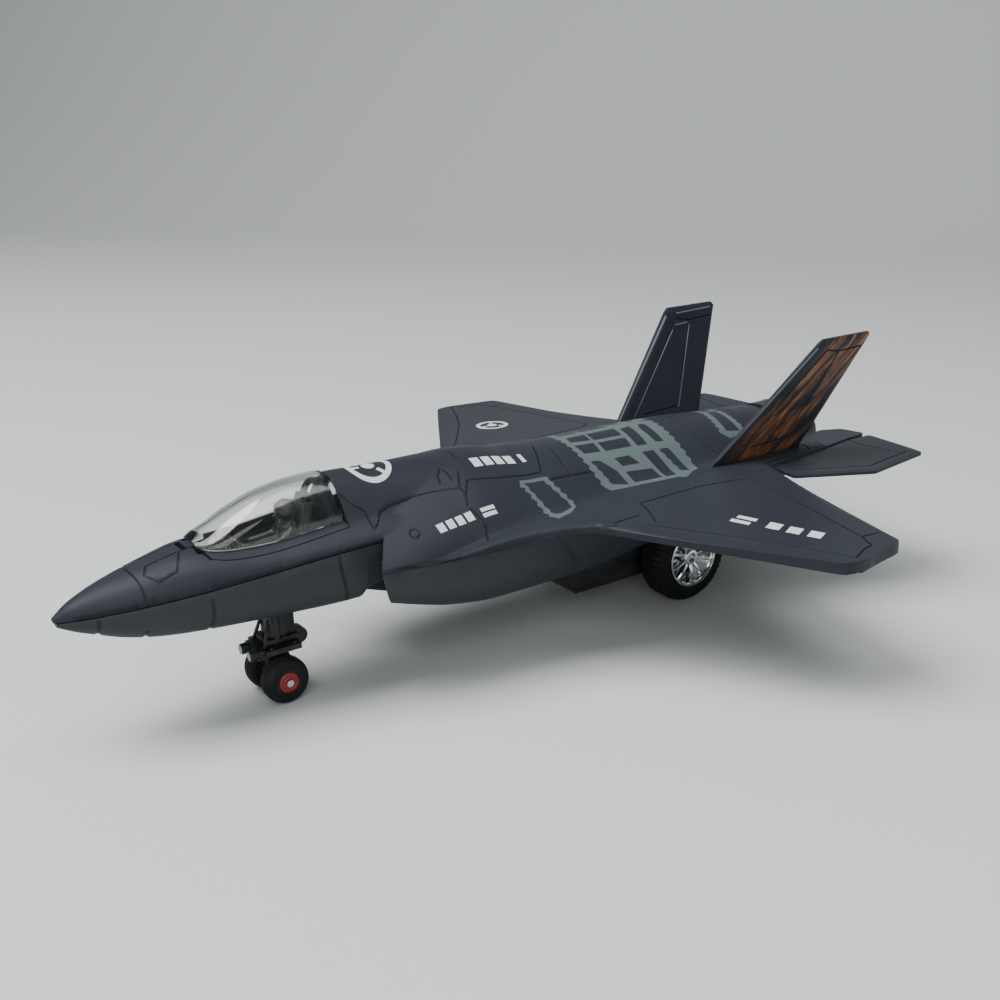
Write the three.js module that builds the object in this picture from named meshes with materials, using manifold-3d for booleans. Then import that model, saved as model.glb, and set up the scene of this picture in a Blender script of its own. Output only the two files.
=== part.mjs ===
// Toy jet fighter: a die-cast upper shell with wings, a moulded belly, an opening canopy over a
// seated pilot, twin nose wheels and a pull-back spring motor that drives the two rear wheels.
// Millimetres, +Z up. The nose points to -Y, the left wing to +X, and the tyres stand on z = 0.
import * as THREE from "three";
import { ConvexGeometry } from "three/addons/geometries/ConvexGeometry.js";
import { mergeVertices } from "three/addons/utils/BufferGeometryUtils.js";
import Module from "manifold-3d";

const wasm = await Module();
wasm.setup();

// ---- Driving dimensions -------------------------------------------------------------------------
// A station is the distance aft of the nose tip; a height is above the ground.
const length = 240;
const gap = 0.3; // between pieces that rest on each other
const rear = { station: 171.5, radius: 13.2, tyreWidth: 9.2, inner: 11.4, axleRadius: 1.25 };
const nose = { station: 51, radius: 5.9, tyreWidth: 5, inner: 2.4, axleRadius: 0.9 };
const intake = { station: 68.3, half: 26, height: 36.2, upperSweep: 0.65, lowerSweep: 0.5, drop: 0.2 };
const canopyEnds = { front: 31, back: 67.6 };
const hinge = { station: 31.7, height: 43.2, radius: 0.6, tongue: 2.3 };
const gearTeeth = { module: 0.7, width: 2.2, axle: 10, idlerBig: 24, idlerSmall: 10, drum: 28 };
const screwHead = { radius: 1.6, depth: 1, shank: 0.85 };
const motorBox = { front: 135.6, back: 186, half: 10.2, floor: 7.6, wall: 1.1 };
const bellyScrews = [88, 120, 205];
const boxScrews = [129, 191];
const pinRadius = 1;
const nozzle = { station: 219, height: 36.4, radius: 10.6, exitRadius: 8.6, length: 15 };

const place = (station) => station - length / 2; // station to Y

// A smooth function through [at, value] pairs that never swings past them.
function through(pairs) {
  const at = pairs.map((p) => p[0]);
  const value = pairs.map((p) => p[1]);
  const rise = at.slice(1).map((a, i) => (value[i + 1] - value[i]) / (a - at[i]));
  const slope = at.map((_, i) => {
    if (i === 0) return rise[0];
    if (i === at.length - 1) return rise[i - 1];
    if (rise[i - 1] * rise[i] <= 0) return 0;
    return (2 * rise[i - 1] * rise[i]) / (rise[i - 1] + rise[i]);
  });
  return (s) => {
    if (s <= at[0]) return value[0];
    if (s >= at[at.length - 1]) return value[at.length - 1];
    const i = at.findIndex((a) => a > s) - 1;
    const span = at[i + 1] - at[i];
    const t = (s - at[i]) / span;
    const a = 2 * t ** 3 - 3 * t ** 2 + 1;
    const b = t ** 3 - 2 * t ** 2 + t;
    const c = t ** 3 - t ** 2;
    return a * value[i] + b * span * slope[i] + (1 - a) * value[i + 1] + c * span * slope[i + 1];
  };
}

// ---- The skin: every outer surface of the two shells comes from these ----------------------------
// Forward fuselage: a chined body with the cockpit spine on top.
const chineHalf = through([[0, 1], [4, 3.4], [11, 6.5], [21, 9.8], [31, 12.2], [42, 14], [53, 15.5],
  [63, 16.6], [72, 17.4], [104, 20]]);
const chineHeight = through([[0, 33.6], [21, 35.7], [42, 37.8], [60, 39.6], [75, 40.5], [104, 41]]);
const shoulderRise = through([[0, 0.9], [4, 3.2], [11, 5.2], [21, 6.8], [31, 7.8], [42, 6.6],
  [53, 5.5], [72, 5.6], [104, 8]]);
const keelDrop = through([[0, 1], [4, 3.4], [8, 5.3], [14, 8], [22, 10.4], [31, 12.1], [42, 13.8],
  [51, 15.1], [62, 16.5], [69.6, 17], [70.8, 15.2], [84, 13]]);
const spineRise = through([[66, 9], [70, 8.7], [76, 8], [89, 6.4], [104, 4.4]]);
const spineHalf = through([[66, 11.4], [80, 12.5], [104, 15]]);
// Middle and rear fuselage.
const coreHalf = through([[66, 26], [80, 26.4], [92, 26.8], [110, 27.3], [125, 27], [145, 25],
  [175, 22], [200, 17.5], [226, 13.5]]);
const coreRise = through([[66, 6.6], [70, 8], [80, 12.6], [92, 16.8], [100, 18], [110, 16.8],
  [120, 14.2], [140, 12.7], [175, 12.3], [200, 10.6], [226, 9]]);
const coreSquare = through([[66, 1.4], [105, 1.5], [140, 2], [226, 2]]);
const coreFull = through([[66, 0.71], [100, 0.72], [125, 1], [145, 1.4], [180, 1.2], [210, 0.8],
  [226, 0.62]]);
const seamHeight = through([[66, 36.2], [80, 35.6], [92, 35.4], [110, 36.4], [125, 37.3],
  [150, 37.3], [190, 37], [232, 36.8]]);
const bellyHalf = through([[66, 25.4], [92, 27.2], [110, 27.8], [140, 26.6], [175, 24], [200, 22.6],
  [230, 20]]);
const bellyHeight = through([[66, 25], [75, 22], [85, 18.6], [93, 16.4], [105, 14.8], [128, 14.6],
  [160, 17.4], [190, 22.8], [215, 27.2], [230, 29.5]]);
// Half outline of the wings, strakes and tail booms, from the front: [half-width, station].
const deckEdge = [[24.6, 74], [27.3, 80], [28.6, 92], [30.6, 107], [33.2, 116.5], [36.5, 123.5],
  [88.5, 154.3], [89.3, 160], [86.8, 176.2], [30, 191], [28.4, 193], [27.6, 198], [26.6, 210],
  [23.4, 231]];
const deckHalf = (s) => {
  const i = Math.min(Math.max(deckEdge.findIndex((p) => p[1] > s), 1), deckEdge.length - 1);
  const [a, b] = [deckEdge[i - 1], deckEdge[i]];
  return THREE.MathUtils.mapLinear(s, a[1], b[1], a[0], b[0]);
};
const wingTop = { root: 2.3, tip: 1.0 }; // skin above and below the wing's middle plane
const wingMiddle = (x) => 37.3 - 0.044 * Math.max(0, Math.abs(x) - 30);
const wingDepth = (x) => THREE.MathUtils.mapLinear(Math.min(Math.abs(x), 89), 30, 89, wingTop.root,
  wingTop.tip);

const swell = (x, half, square, full) => Math.max(0, 1 - Math.abs(x / half) ** square) ** full;
const blendMax = (a, b, soft) => (a + b + Math.hypot(a - b, soft)) / 2;

const forwardTop = (x, s) => chineHeight(s) + shoulderRise(s) * swell(x, chineHalf(s), 2, 0.5);
const spineTop = (x, s) => forwardTop(x, s) + spineRise(s) * swell(x, spineHalf(s), 2, 1.3);
const coreTop = (x, s) => seamHeight(s) + coreRise(s) * swell(x, coreHalf(s), coreSquare(s), coreFull(s));
// The deck rises out of the seam behind the intakes and becomes the wings' upper skin.
const deckLift = through([[74, 0], [84, 0.2], [100, 0.7], [118, 1]]);
const deckTop = (x, s) => seamHeight(s) + deckLift(s) * (wingMiddle(x) - seamHeight(s) + wingDepth(x)
  * swell(x, deckHalf(s), 12, 0.4));
const bodyTop = (x, s) => blendMax(coreTop(x, s), deckTop(x, s), 1.2 * deckLift(s));

// ---- Making and joining solids --------------------------------------------------------------------
// A manifold solid from a closed geometry, turned right side out if need be.
function solidOf(geometry) {
  const bare = geometry.index ? geometry.toNonIndexed() : geometry.clone();
  bare.deleteAttribute("normal");
  bare.deleteAttribute("uv");
  const merged = mergeVertices(bare, 1e-4);
  const at = (i) => new THREE.Vector3().fromBufferAttribute(merged.attributes.position, i);
  const corners = merged.index.array;
  const index = [];
  let volume = 0;
  for (let i = 0; i < corners.length; i += 3) {
    const [a, b, c] = corners.subarray(i, i + 3);
    if (a === b || b === c || c === a) continue;
    index.push(a, b, c);
    volume += at(a).dot(at(b).cross(at(c)));
  }
  if (volume < 0) {
    for (let i = 0; i < index.length; i += 3) [index[i], index[i + 1]] = [index[i + 1], index[i]];
  }
  return new wasm.Manifold(new wasm.Mesh({
    numProp: 3,
    vertProperties: merged.attributes.position.array,
    triVerts: new Uint32Array(index),
  }));
}

function geometryOf(solid) {
  const mesh = solid.getMesh();
  const points = [];
  for (let i = 0; i < mesh.numVert; i++) {
    points.push(...mesh.vertProperties.subarray(i * mesh.numProp, i * mesh.numProp + 3));
  }
  const geometry = new THREE.BufferGeometry();
  geometry.setAttribute("position", new THREE.Float32BufferAttribute(points, 3));
  geometry.setIndex(new THREE.BufferAttribute(mesh.triVerts, 1));
  const flat = geometry.toNonIndexed();
  flat.computeVertexNormals();
  return flat;
}

const join = (...solids) => solids.reduce((a, b) => a.add(b));
const cut = (solid, ...tools) => tools.reduce((a, b) => a.subtract(b), solid);

// A box from its lowest to its highest corner, in X, Y and Z.
function block(low, high) {
  const size = high.map((h, i) => h - low[i]);
  const geometry = new THREE.BoxGeometry(...size);
  return solidOf(geometry.translate(...low.map((l, i) => l + size[i] / 2)));
}

// A rod along X from x0 to x1, at a station and a height.
function rodX(radius, x0, x1, station, height, sides = 20) {
  const geometry = new THREE.CylinderGeometry(radius, radius, x1 - x0, sides);
  return solidOf(geometry.rotateZ(Math.PI / 2).translate((x0 + x1) / 2, place(station), height));
}

// A rod along Z.
function rodZ(radius, z0, z1, x, station, sides = 20, topRadius = radius) {
  const geometry = new THREE.CylinderGeometry(topRadius, radius, z1 - z0, sides);
  return solidOf(geometry.rotateX(Math.PI / 2).translate(x, place(station), (z0 + z1) / 2));
}

// A solid of revolution about the X axis; the profile is [along X, radius] pairs of a closed loop.
function turnedX(profile, station, height, sides = 24) {
  const points = profile.map(([along, radius]) => new THREE.Vector2(radius, along));
  const geometry = new THREE.LatheGeometry([...points, points[0]], sides);
  return solidOf(geometry.rotateZ(-Math.PI / 2).translate(0, place(station), height));
}

// A solid of revolution about a Y axis through x = 0; the profile is [station, radius] pairs.
function turnedY(profile, height, sides = 32) {
  const points = profile.map(([station, radius]) => new THREE.Vector2(radius, place(station)));
  return solidOf(new THREE.LatheGeometry([...points, points[0]], sides).translate(0, 0, height));
}

// A plate drawn as [x, station] in plan and extruded from z0 to z1.
function planPlate(outline, z0, z1) {
  const shape = new THREE.Shape(outline.map(([x, s]) => new THREE.Vector2(x, place(s))));
  const geometry = new THREE.ExtrudeGeometry(shape, { depth: z1 - z0, bevelEnabled: false });
  return solidOf(geometry.translate(0, 0, z0));
}

// A shape drawn in side view, in Y and Z, and extruded along X from x0 to x1.
function extrudeX(shape, x0, x1, curveSegments = 12) {
  const geometry = new THREE.ExtrudeGeometry(shape, { depth: x1 - x0, bevelEnabled: false, curveSegments });
  const turn = new THREE.Matrix4().makeBasis(new THREE.Vector3(0, 1, 0), new THREE.Vector3(0, 0, 1),
    new THREE.Vector3(1, 0, 0));
  return geometry.applyMatrix4(turn).translate(x0, 0, 0);
}

// A plate drawn as [station, height] in side view, extruded along X and then moved by a matrix.
function sidePlate(outline, x0, x1, move = new THREE.Matrix4()) {
  const shape = new THREE.Shape(outline.map(([s, z]) => new THREE.Vector2(place(s), z)));
  return solidOf(extrudeX(shape, x0, x1).applyMatrix4(move));
}

// A closed body between two grids of points that share their outer edges.
function between(high, low) {
  const [rows, columns] = [high.length, high[0].length];
  const points = [...high.flat(), ...low.flat()];
  const top = (r, c) => r * columns + c;
  const bottom = (r, c) => rows * columns + top(r, c);
  const index = [];
  const quad = (a, b, c, d) => index.push(a, b, c, c, b, d);
  for (let r = 0; r < rows - 1; r++) {
    for (let c = 0; c < columns - 1; c++) {
      quad(top(r, c), top(r, c + 1), top(r + 1, c), top(r + 1, c + 1));
      quad(bottom(r, c), bottom(r + 1, c), bottom(r, c + 1), bottom(r + 1, c + 1));
    }
    quad(top(r, columns - 1), bottom(r, columns - 1), top(r + 1, columns - 1), bottom(r + 1, columns - 1));
    quad(bottom(r, 0), top(r, 0), bottom(r + 1, 0), top(r + 1, 0));
  }
  for (let c = 0; c < columns - 1; c++) {
    quad(bottom(0, c), bottom(0, c + 1), top(0, c), top(0, c + 1));
    quad(top(rows - 1, c), top(rows - 1, c + 1), bottom(rows - 1, c), bottom(rows - 1, c + 1));
  }
  return solidOf(new THREE.BufferGeometry().setFromPoints(points).setIndex(index));
}

const steps = (from, to, count) => Array.from({ length: count + 1 },
  (_, i) => from + ((to - from) * i) / count);
const across = steps(-1, 1, 12).map((t) => Math.sin((t * Math.PI) / 2));

// The body between a lower and an upper surface, out to a half-width that changes with station.
function bodyLoft(stations, half, low, high) {
  const grid = (surface) => stations.map((s) => across.map((t) => new THREE.Vector3(t * half(s), place(s),
    surface(t * half(s), s))));
  return between(grid(high), grid(low));
}

const bulge = (x, half, power) => (1 - Math.min(1, Math.abs(x / half)) ** power) ** (1 / power);

// ---- Upper shell ------------------------------------------------------------------------------------
const canopyHalf = through([[31, hinge.tongue], [33, hinge.tongue], [34.6, 8.4], [40, 10.4], [48, 11.6],
  [60, 12.2], [67.6, 12.2]]);
const glassHalf = through([[32.2, 3.4], [35, 6.6], [41, 8.3], [52, 9.4], [62, 9.9], [69, 10]]);
const glassTop = through([[32.2, 45.4], [37, 47.6], [43.3, 50.9], [51, 53.7], [59, 54.9], [64.5, 55.1],
  [69, 54.7]]);
const canopyStations = [31, 33, 34.6, 37, 40, 44, 48, 54, 60, 67.6];

// The plan outline of the canopy or of its glass, from a half-width and two ends, grown by a margin.
function canopyOutline(half, front, back, grow) {
  const stations = [front - grow, ...canopyStations.filter((s) => s > front && s < back), back + grow];
  const side = stations.map((s) => [half(s) + grow, s]);
  return [...side, ...side.map(([x, s]) => [-x, s]).reverse()];
}

function wingSolid(side) {
  const shares = [0, 0.03, 0.1, 0.3, 0.6, 0.85, 0.97, 1];
  const chords = [
    { x: 24, front: 114, back: 194 },
    { x: 36.5, front: 123.5, back: 189.9 },
    { x: 60, front: 137.4, back: 183.5 },
    { x: 86.8, front: 153.3, back: 176.2 },
    { x: 88.6, front: 154.6, back: 165.5 },
    { x: 89.3, front: 158.6, back: 160.6 },
  ];
  const grid = (rise) => chords.map(({ x, front, back }) => shares.map((share) => {
    const depth = rise * wingDepth(x) * Math.max(0.25, Math.sin(Math.PI * share) ** 0.45);
    return new THREE.Vector3(x * side, place(front + (back - front) * share), wingMiddle(x) + depth);
  }));
  return between(grid(1), grid(-0.55));
}

// Everything ahead of the intake's leaning front plane, on one side.
function aheadOfIntake(side, sweep, drop, shift) {
  const front = (x, z) => new THREE.Vector3(side * x, place(intake.station + sweep * (intake.half - x)
    + drop * (intake.height - z) + shift), z);
  const corners = [[-0.01, 5], [45, 5], [45, 60], [-0.01, 60]];
  return solidOf(new ConvexGeometry(corners.flatMap(([x, z]) => [front(x, z),
    new THREE.Vector3(side * x, place(40), z)])));
}

// The upper half of the intake boxes, grown by a margin all round.
function intakeShoulders(grow) {
  const half = (s) => Math.min(coreHalf(s) + 0.4, 30) + grow;
  const body = bodyLoft([66, 71, 76, 81, 86, 92, 100, 108], half, (x, s) => seamHeight(s) - grow,
    (x, s) => coreTop(x, s) + grow);
  return cut(body, ...[1, -1].map((side) => aheadOfIntake(side, intake.upperSweep, 0, -grow)));
}

const tabs = {
  fin: { from: 184, to: 203, low: 37.3 },
  tail: { from: 200, to: 210, inner: 22 },
};
const finBase = { x: 21.6, front: 175, back: 211 };
const finTip = { x: 32.2, front: 206.3, back: 226.6, height: 73.4 };
const finFoot = 40; // the height at which a fin stands at finBase.x
const finCant = (finTip.x - finBase.x) / (finTip.height - finFoot);

const forwardStations = [0, 1.2, 4, 8, 14, 21, 31, 42, 53, 66, 69.6, 70.8, 84];
const middleStations = [66, 75, 84, 92, 105, 120, 140, 160, 180, 205, 230];
const nozzleSeat = () => turnedY([[214, 0], [214, nozzle.radius + 0.8], [245, nozzle.radius + 0.8],
  [245, 0]], nozzle.height);

function upperShell() {
  const forward = bodyLoft(forwardStations, chineHalf, (x, s) => chineHeight(s), forwardTop);
  const spine = bodyLoft([65.9, 69.5, 76, 84, 94, 104], chineHalf, (x, s) => chineHeight(s), spineTop);
  const rearBody = bodyLoft([80, 86, 92, 100, 108, 116.5, 123.5, 132, 145, 160, 175, 191, 193, 205, 220],
    (s) => Math.min(deckHalf(s), 31), (x, s) => seamHeight(s), bodyTop);
  const booms = [1, -1].map((side) => planPlate([[12.4, 206], [26.4, 212], [23.4, 231], [22.9, 239.2],
    [15.4, 237.8], [12.4, 232]].map(([x, s]) => [x * side, s]), 36.9, 38.5));
  const shell = join(forward, spine, intakeShoulders(0), rearBody, wingSolid(1), wingSolid(-1), ...booms);
  const ceiling = (x, s) => Math.max(31, (s < 104 ? Math.max(spineTop(x, s), coreTop(x, s))
    : bodyTop(x, s)) - 2.2);
  const hollows = [[72, 106], [112, 214]].map(([from, to]) => bodyLoft(steps(from, to, 7),
    (s) => Math.min(chineHalf(s) - 3, coreHalf(s) * 0.72), () => 30, ceiling));
  hollows.push(bodyLoft([9, 14, 20, 28], (s) => chineHalf(s) - 2.4, () => 30,
    (x, s) => Math.max(31, forwardTop(x, s) - 2)));
  const opening = planPlate(canopyOutline(canopyHalf, canopyEnds.front, canopyEnds.back, gap), 30, 60);
  const slots = [1, -1].flatMap((side) => [finTab(side, gap), tailTab(side, gap, 30), duct(side)]);
  const posts = bellyScrews.map((s) => rodZ(3, bellyHeight(s) + 6, ceiling(0, s) + 0.4, 0, s, 16));
  // Room for the canopy's front edge to turn about its pin.
  const relief = join(block([-hinge.tongue - gap, place(canopyEnds.front - 1.2), hinge.height - 0.3],
    [hinge.tongue + gap, place(canopyEnds.front + 1), 60]), block([-5.6, place(32.3), hinge.height + 0.4],
    [5.6, place(34), 60]));
  const pinHole = rodX(hinge.radius + 0.05, -4, 4, hinge.station, hinge.height, 16);
  const bores = bellyScrews.map((s) => rodZ(screwHead.shank + 0.1, 10, bellyHeight(s) + 14, 0, s, 12));
  return cut(join(cut(shell, ...hollows, opening), ...posts), ...slots, ...bores, relief, pinHole,
    nozzleSeat());
}

// ---- Belly ------------------------------------------------------------------------------------------
// The intake duct: a leaning four-sided tunnel between the fuselage side and the intake's outer wall.
function duct(side) {
  const section = [[18.6, 39], [23.8, 36.8], [24, 35.2], [20, 26], [18.2, 26]];
  const ring = (s, share) => section.map(([x, z]) => new THREE.Vector3(side * (19.5 + (x - 19.5) * share),
    place(s), 31.5 + (z - 31.5) * share));
  return solidOf(new ConvexGeometry([...ring(64, 1), ...ring(76, 1), ...ring(92, 0.8)]));
}

function belly() {
  const edges = { forward: (s) => chineHeight(s) - gap, middle: (s) => seamHeight(s) - gap };
  const forwardSkin = (x, s) => edges.forward(s) - (edges.forward(s) - chineHeight(s) + keelDrop(s))
    * bulge(x, chineHalf(s), 3);
  const middleSkin = (x, s) => edges.middle(s) - (edges.middle(s) - bellyHeight(s))
    * bulge(x, bellyHalf(s), 2.6);
  const forward = bodyLoft([0.6, ...forwardStations.slice(1)], chineHalf, forwardSkin,
    (x, s) => edges.forward(s));
  const middle = bodyLoft(middleStations, bellyHalf, middleSkin, (x, s) => edges.middle(s));
  const sides = [1, -1];
  const intakeBoxes = cut(middle, ...sides.map((side) => aheadOfIntake(side, intake.lowerSweep,
    intake.drop, 0)));
  const shell = join(cut(forward, intakeShoulders(gap)), intakeBoxes);
  // Hollows under the cockpit, between the ducts and over the motor.
  const rooms = [
    bodyLoft([30, 42, 53, 66], (s) => chineHalf(s) - 2.2, (x, s) => forwardSkin(x, s) + 2, () => 45),
    bodyLoft([76, 84, 94], () => 11, (x, s) => bellyHeight(s) + 2, () => 45),
    bodyLoft([100, 120, 140, 160, 180, 208], (s) => bellyHalf(s) - 2.4, (x, s) => middleSkin(x, s) + 2.2,
      () => 45),
  ];
  const pads = [...bellyScrews, ...boxScrews].map((s) => rodZ(3.2, bellyHeight(s) + 0.8,
    bellyHeight(s) + 5.7, 0, s, 16));
  const { half, front, back } = motorBox;
  const openings = [
    block([gap - half, place(front + 1), 8], [half - gap, place(back - 1), 36]),
    ...sides.map((side) => rodX(rear.radius + 1.4, side * 16 - 5.6, side * 16 + 5.6, rear.station,
      rear.radius, 24)),
    ...sides.map((side) => block([side * 29.7 - 6, place(112), 35.6], [side * 29.7 + 6, place(196), 45])),
    block([-2.9, place(nose.station - 2.4 - gap), 20], [2.9, place(nose.station + 4.8 + gap), 33]),
    ...bellyScrews.map((s) => rodZ(screwHead.radius + 0.3, 0, bellyHeight(s) + 2.4, 0, s, 16)),
    ...bellyScrews.map((s) => rodZ(screwHead.shank + 0.35, 0, 60, 0, s, 12)),
    ...boxScrews.map((s) => rodZ(screwHead.shank + 0.1, 0, 60, 0, s, 12)),
  ];
  return cut(join(cut(shell, ...rooms), ...pads), ...openings, duct(1), duct(-1), nozzleSeat());
}

// ---- Canopy and cockpit -------------------------------------------------------------------------------
const sillRise = 0.2;

function canopyFrame() {
  const rim = (x, s) => forwardTop(Math.min(Math.abs(x), canopyHalf(s)), s);
  const band = bodyLoft(canopyStations, canopyHalf, (x, s) => rim(x, s) - 1.8, rim);
  const inside = planPlate(canopyOutline((s) => glassHalf(s) - 1.1, 35, 66, 0), 30, 60);
  const bow = (from, to, thick, sink) => bodyLoft([from, to], (s) => glassHalf(s) - thick,
    (x, s) => rim(x, s) - sink, (x, s) => Math.max(glassDome(thick)(x, s), rim(x, s)));
  const feet = [1, -1].map((side) => block([side * 8.4 - 1.2, place(64.2), rim(8.4, 65) - 1.6],
    [side * 8.4 + 1.2, place(65.7), rim(8.4, 65) - 0.4]));
  const arch = join(bow(64.2, 65.7, 1.5, 1), ...feet);
  return join(cut(band, inside, rodX(hinge.radius + 0.08, -4, 4, hinge.station, hinge.height, 16)),
    cut(arch, bow(63, 67, 2.9, 4)));
}

const glassFoot = (x, s) => forwardTop(Math.min(Math.abs(x), glassHalf(s)), s) + gap;
const glassDome = (thick) => (x, s) => {
  const sill = glassFoot(glassHalf(s), s);
  return sill + (glassTop(s) - thick - sill) * swell(x, glassHalf(s) - thick, 2, 0.5);
};

function canopyGlass() {
  const outer = bodyLoft([32.6, 34, 36, 39, 43, 48, 54, 60, 67.2], glassHalf,
    (x, s) => Math.min(glassFoot(x, s), glassDome(0)(x, s)), glassDome(0));
  const inner = bodyLoft([35.2, 37, 39, 43, 48, 54, 60, 66], (s) => glassHalf(s) - 1.1, () => 36,
    glassDome(1.1));
  return cut(outer, inner);
}

const tub = { front: 35.5, back: 66, half: 7.6, floor: 34.6, rim: 39.6 };

function cockpitTub() {
  const body = block([-tub.half, place(tub.front), tub.floor - 1.2], [tub.half, place(tub.back), tub.rim]);
  const room = block([-tub.half + 1, place(tub.front + 1), tub.floor], [tub.half - 1,
    place(tub.back - 1), 60]);
  const consoles = [1, -1].map((side) => block([Math.min(side * 4.4, side * 7), place(45), tub.floor - 0.5],
    [Math.max(side * 4.4, side * 7), place(60), 38]));
  const panel = sidePlate([[38, 34], [44, 34], [44.6, 42.2], [38, 42.8]], -5.2, 5.2);
  return join(cut(body, room), ...consoles, panel);
}

function seat() {
  const pan = block([-3.6, place(51.2), 34.9], [3.6, place(59), 36.6]);
  const back = sidePlate([[57.4, 34.9], [60, 34.9], [62.6, 48.6], [60.3, 48.6]], -3.6, 3.6);
  const head = sidePlate([[60, 46], [62.6, 46], [63.2, 50.4], [61, 50.4]], -2.6, 2.6);
  return join(pan, back, head);
}

function pilot() {
  const torso = sidePlate([[53.4, 37], [57, 37], [59.3, 44.6], [55, 44.6]], -2.9, 2.9);
  const helmet = solidOf(new THREE.SphereGeometry(2.8, 14, 10).translate(0, place(56.9), 47.2));
  const legs = [1, -1].map((side) => block([side * 1.8 - 1.2, place(45.4), 36.9], [side * 1.8 + 1.2,
    place(56), 39.2]));
  const arms = [1, -1].map((side) => sidePlate([[48.4, 39.6], [55.4, 40.2], [57.4, 43.8], [55.6, 44.4],
    [53.6, 41.9], [48.4, 41.4]], side * 3.45 - 0.75, side * 3.45 + 0.75));
  return join(torso, helmet, ...legs, ...arms);
}

// ---- Tail ------------------------------------------------------------------------------------------
// A fin leans outwards: a plate drawn in side view, sheared along X with height.
function leaningPlate(outline, depth, side) {
  const shear = new THREE.Matrix4().set(side, 0, side * finCant, side * (finBase.x - finFoot * finCant),
    0, 1, 0, 0, 0, 0, 1, 0, 0, 0, 0, 1);
  return sidePlate(outline, -depth, depth, shear);
}

function finTab(side, grow) {
  const { from, to, low } = tabs.fin;
  return leaningPlate([[from - grow, low - grow], [to + grow, low - grow], [to + grow, 42],
    [from - grow, 42]], 0.7 + grow, side);
}

function fin(side) {
  const outline = (inset) => [[finBase.front + inset, 39.2], [finBase.back - inset, 39.2],
    [finTip.back - inset, finTip.height - inset / 2], [finTip.front + inset, finTip.height - inset / 2]];
  const blade = join(leaningPlate(outline(0), 0.45, side), leaningPlate(outline(1.6), 0.95, side));
  const deck = bodyLoft(steps(172, 214, 12), () => 31, () => 20, (x, s) => bodyTop(x, s) + gap);
  return join(cut(blade, deck), finTab(side, 0));
}

function tailTab(side, grow, low = 37.2) {
  const { from, to, inner } = tabs.tail;
  return planPlate([[inner - grow, from - grow], [29, from - grow], [29, to + grow], [inner - grow, to + grow]]
    .map(([x, s]) => [x * side, s]), low, 38.1 + grow);
}

function stabilizer(side) {
  const outline = [[29, 193.4], [37.4, 192.3], [48.9, 213.1], [45.5, 237.5], [41, 238.4], [24, length],
    [24, 231.2], [27.4, 210]];
  const inset = outline.map(([x, s]) => [37 + (x - 37) * 0.9, 217 + (s - 217) * 0.93]);
  const plate = (loop, z0, z1) => planPlate(loop.map(([x, s]) => [x * side, s]), z0, z1);
  return join(plate(outline, 37.2, 38.1), plate(inset, 36.95, 38.35), tailTab(side, 0));
}

function nozzleRing() {
  const back = nozzle.station + nozzle.length;
  return turnedY([[nozzle.station - 3, nozzle.radius - 2.4], [nozzle.station - 3, nozzle.radius],
    [nozzle.station + 3, nozzle.radius], [back, nozzle.exitRadius], [back, nozzle.exitRadius - 0.9],
    [nozzle.station + 3, nozzle.radius - 1.6]], nozzle.height, 30);
}

function nozzleCore() {
  const at = nozzle.station - 2.4;
  return turnedY([[at, 0], [at, nozzle.radius - 2.8], [at + 1.6, nozzle.radius - 2.8],
    [at + 1.8, 3.4], [at + 6.5, 0.5], [at + 6.5, 0]], nozzle.height, 24);
}

// ---- Nose gear ---------------------------------------------------------------------------------------
function noseLeg() {
  const s = nose.station;
  const post = block([-2.5, place(s - 2), 14], [2.5, place(s + 4.8), 31.5]);
  const web = block([-1.8, place(s - 2.6), 3.6], [1.8, place(s + 2.9), 15]);
  const guard = block([-5.6, place(s - 4.4), 13.1], [5.6, place(s + 5), 14.5]);
  const collar = block([-3.6, place(s - 3.4), 15], [3.6, place(s + 5.2), 16.3]);
  const lampBar = block([-4.2, place(s - 5.8), 11.9], [4.2, place(s - 3), 14.4]);
  const lamps = [2.6, -2.6].map((x) => solidOf(new THREE.CylinderGeometry(1.4, 1.4, 2.6, 14)
    .translate(x, place(s - 6.3), 13.2)));
  const lug = join(rodX(2.1, -1.7, 1.7, s + 6.4, 14.6, 14), block([-1.7, place(s + 3), 12.5], [1.7,
    place(s + 6.4), 16.7]));
  const ram = rodZ(0.9, 16, 23, 3.2, s - 0.4, 10);
  return cut(join(post, web, guard, collar, lampBar, lug, ram, ...lamps), rodX(nose.axleRadius + 0.1,
    -9, 9, s, nose.radius, 16));
}

const noseAxleEnd = nose.inner + nose.tyreWidth + 0.9;
const noseAxle = () => rodX(nose.axleRadius, -noseAxleEnd, noseAxleEnd, nose.station, nose.radius, 16);

function noseTyre(side) {
  const [a, b] = [nose.inner, nose.inner + nose.tyreWidth];
  const profile = [[a, 2.7], [a, 4.9], [a + 0.7, 5.6], [a + 1.6, 5.9], [b - 1.6, 5.9], [b - 0.7, 5.6],
    [b, 4.9], [b, 2.7]];
  return turnedX(profile.map(([x, r]) => [x * side, r]), nose.station, nose.radius, 24);
}

function noseHub(side) {
  const [a, b] = [nose.inner - 0.2, nose.inner + nose.tyreWidth];
  const profile = [[a, 1], [a, 2.6], [b + 0.1, 2.6], [b + 0.4, 2.2], [b + 0.4, 1]];
  return turnedX(profile.map(([x, r]) => [x * side, r]), nose.station, nose.radius, 20);
}

// ---- Rear wheels and motor -----------------------------------------------------------------------------
function rearTyre(side) {
  const [a, b, r] = [rear.inner, rear.inner + rear.tyreWidth, rear.radius];
  const profile = [[a, 8.8], [a, 11], [a + 1.2, r - 0.5], [a + 2.4, r], [b - 2.4, r], [b - 1.2, r - 0.5],
    [b, 11], [b, 8.8]];
  return turnedX(profile.map(([x, radius]) => [x * side, radius]), rear.station, rear.radius, 32);
}

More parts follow.
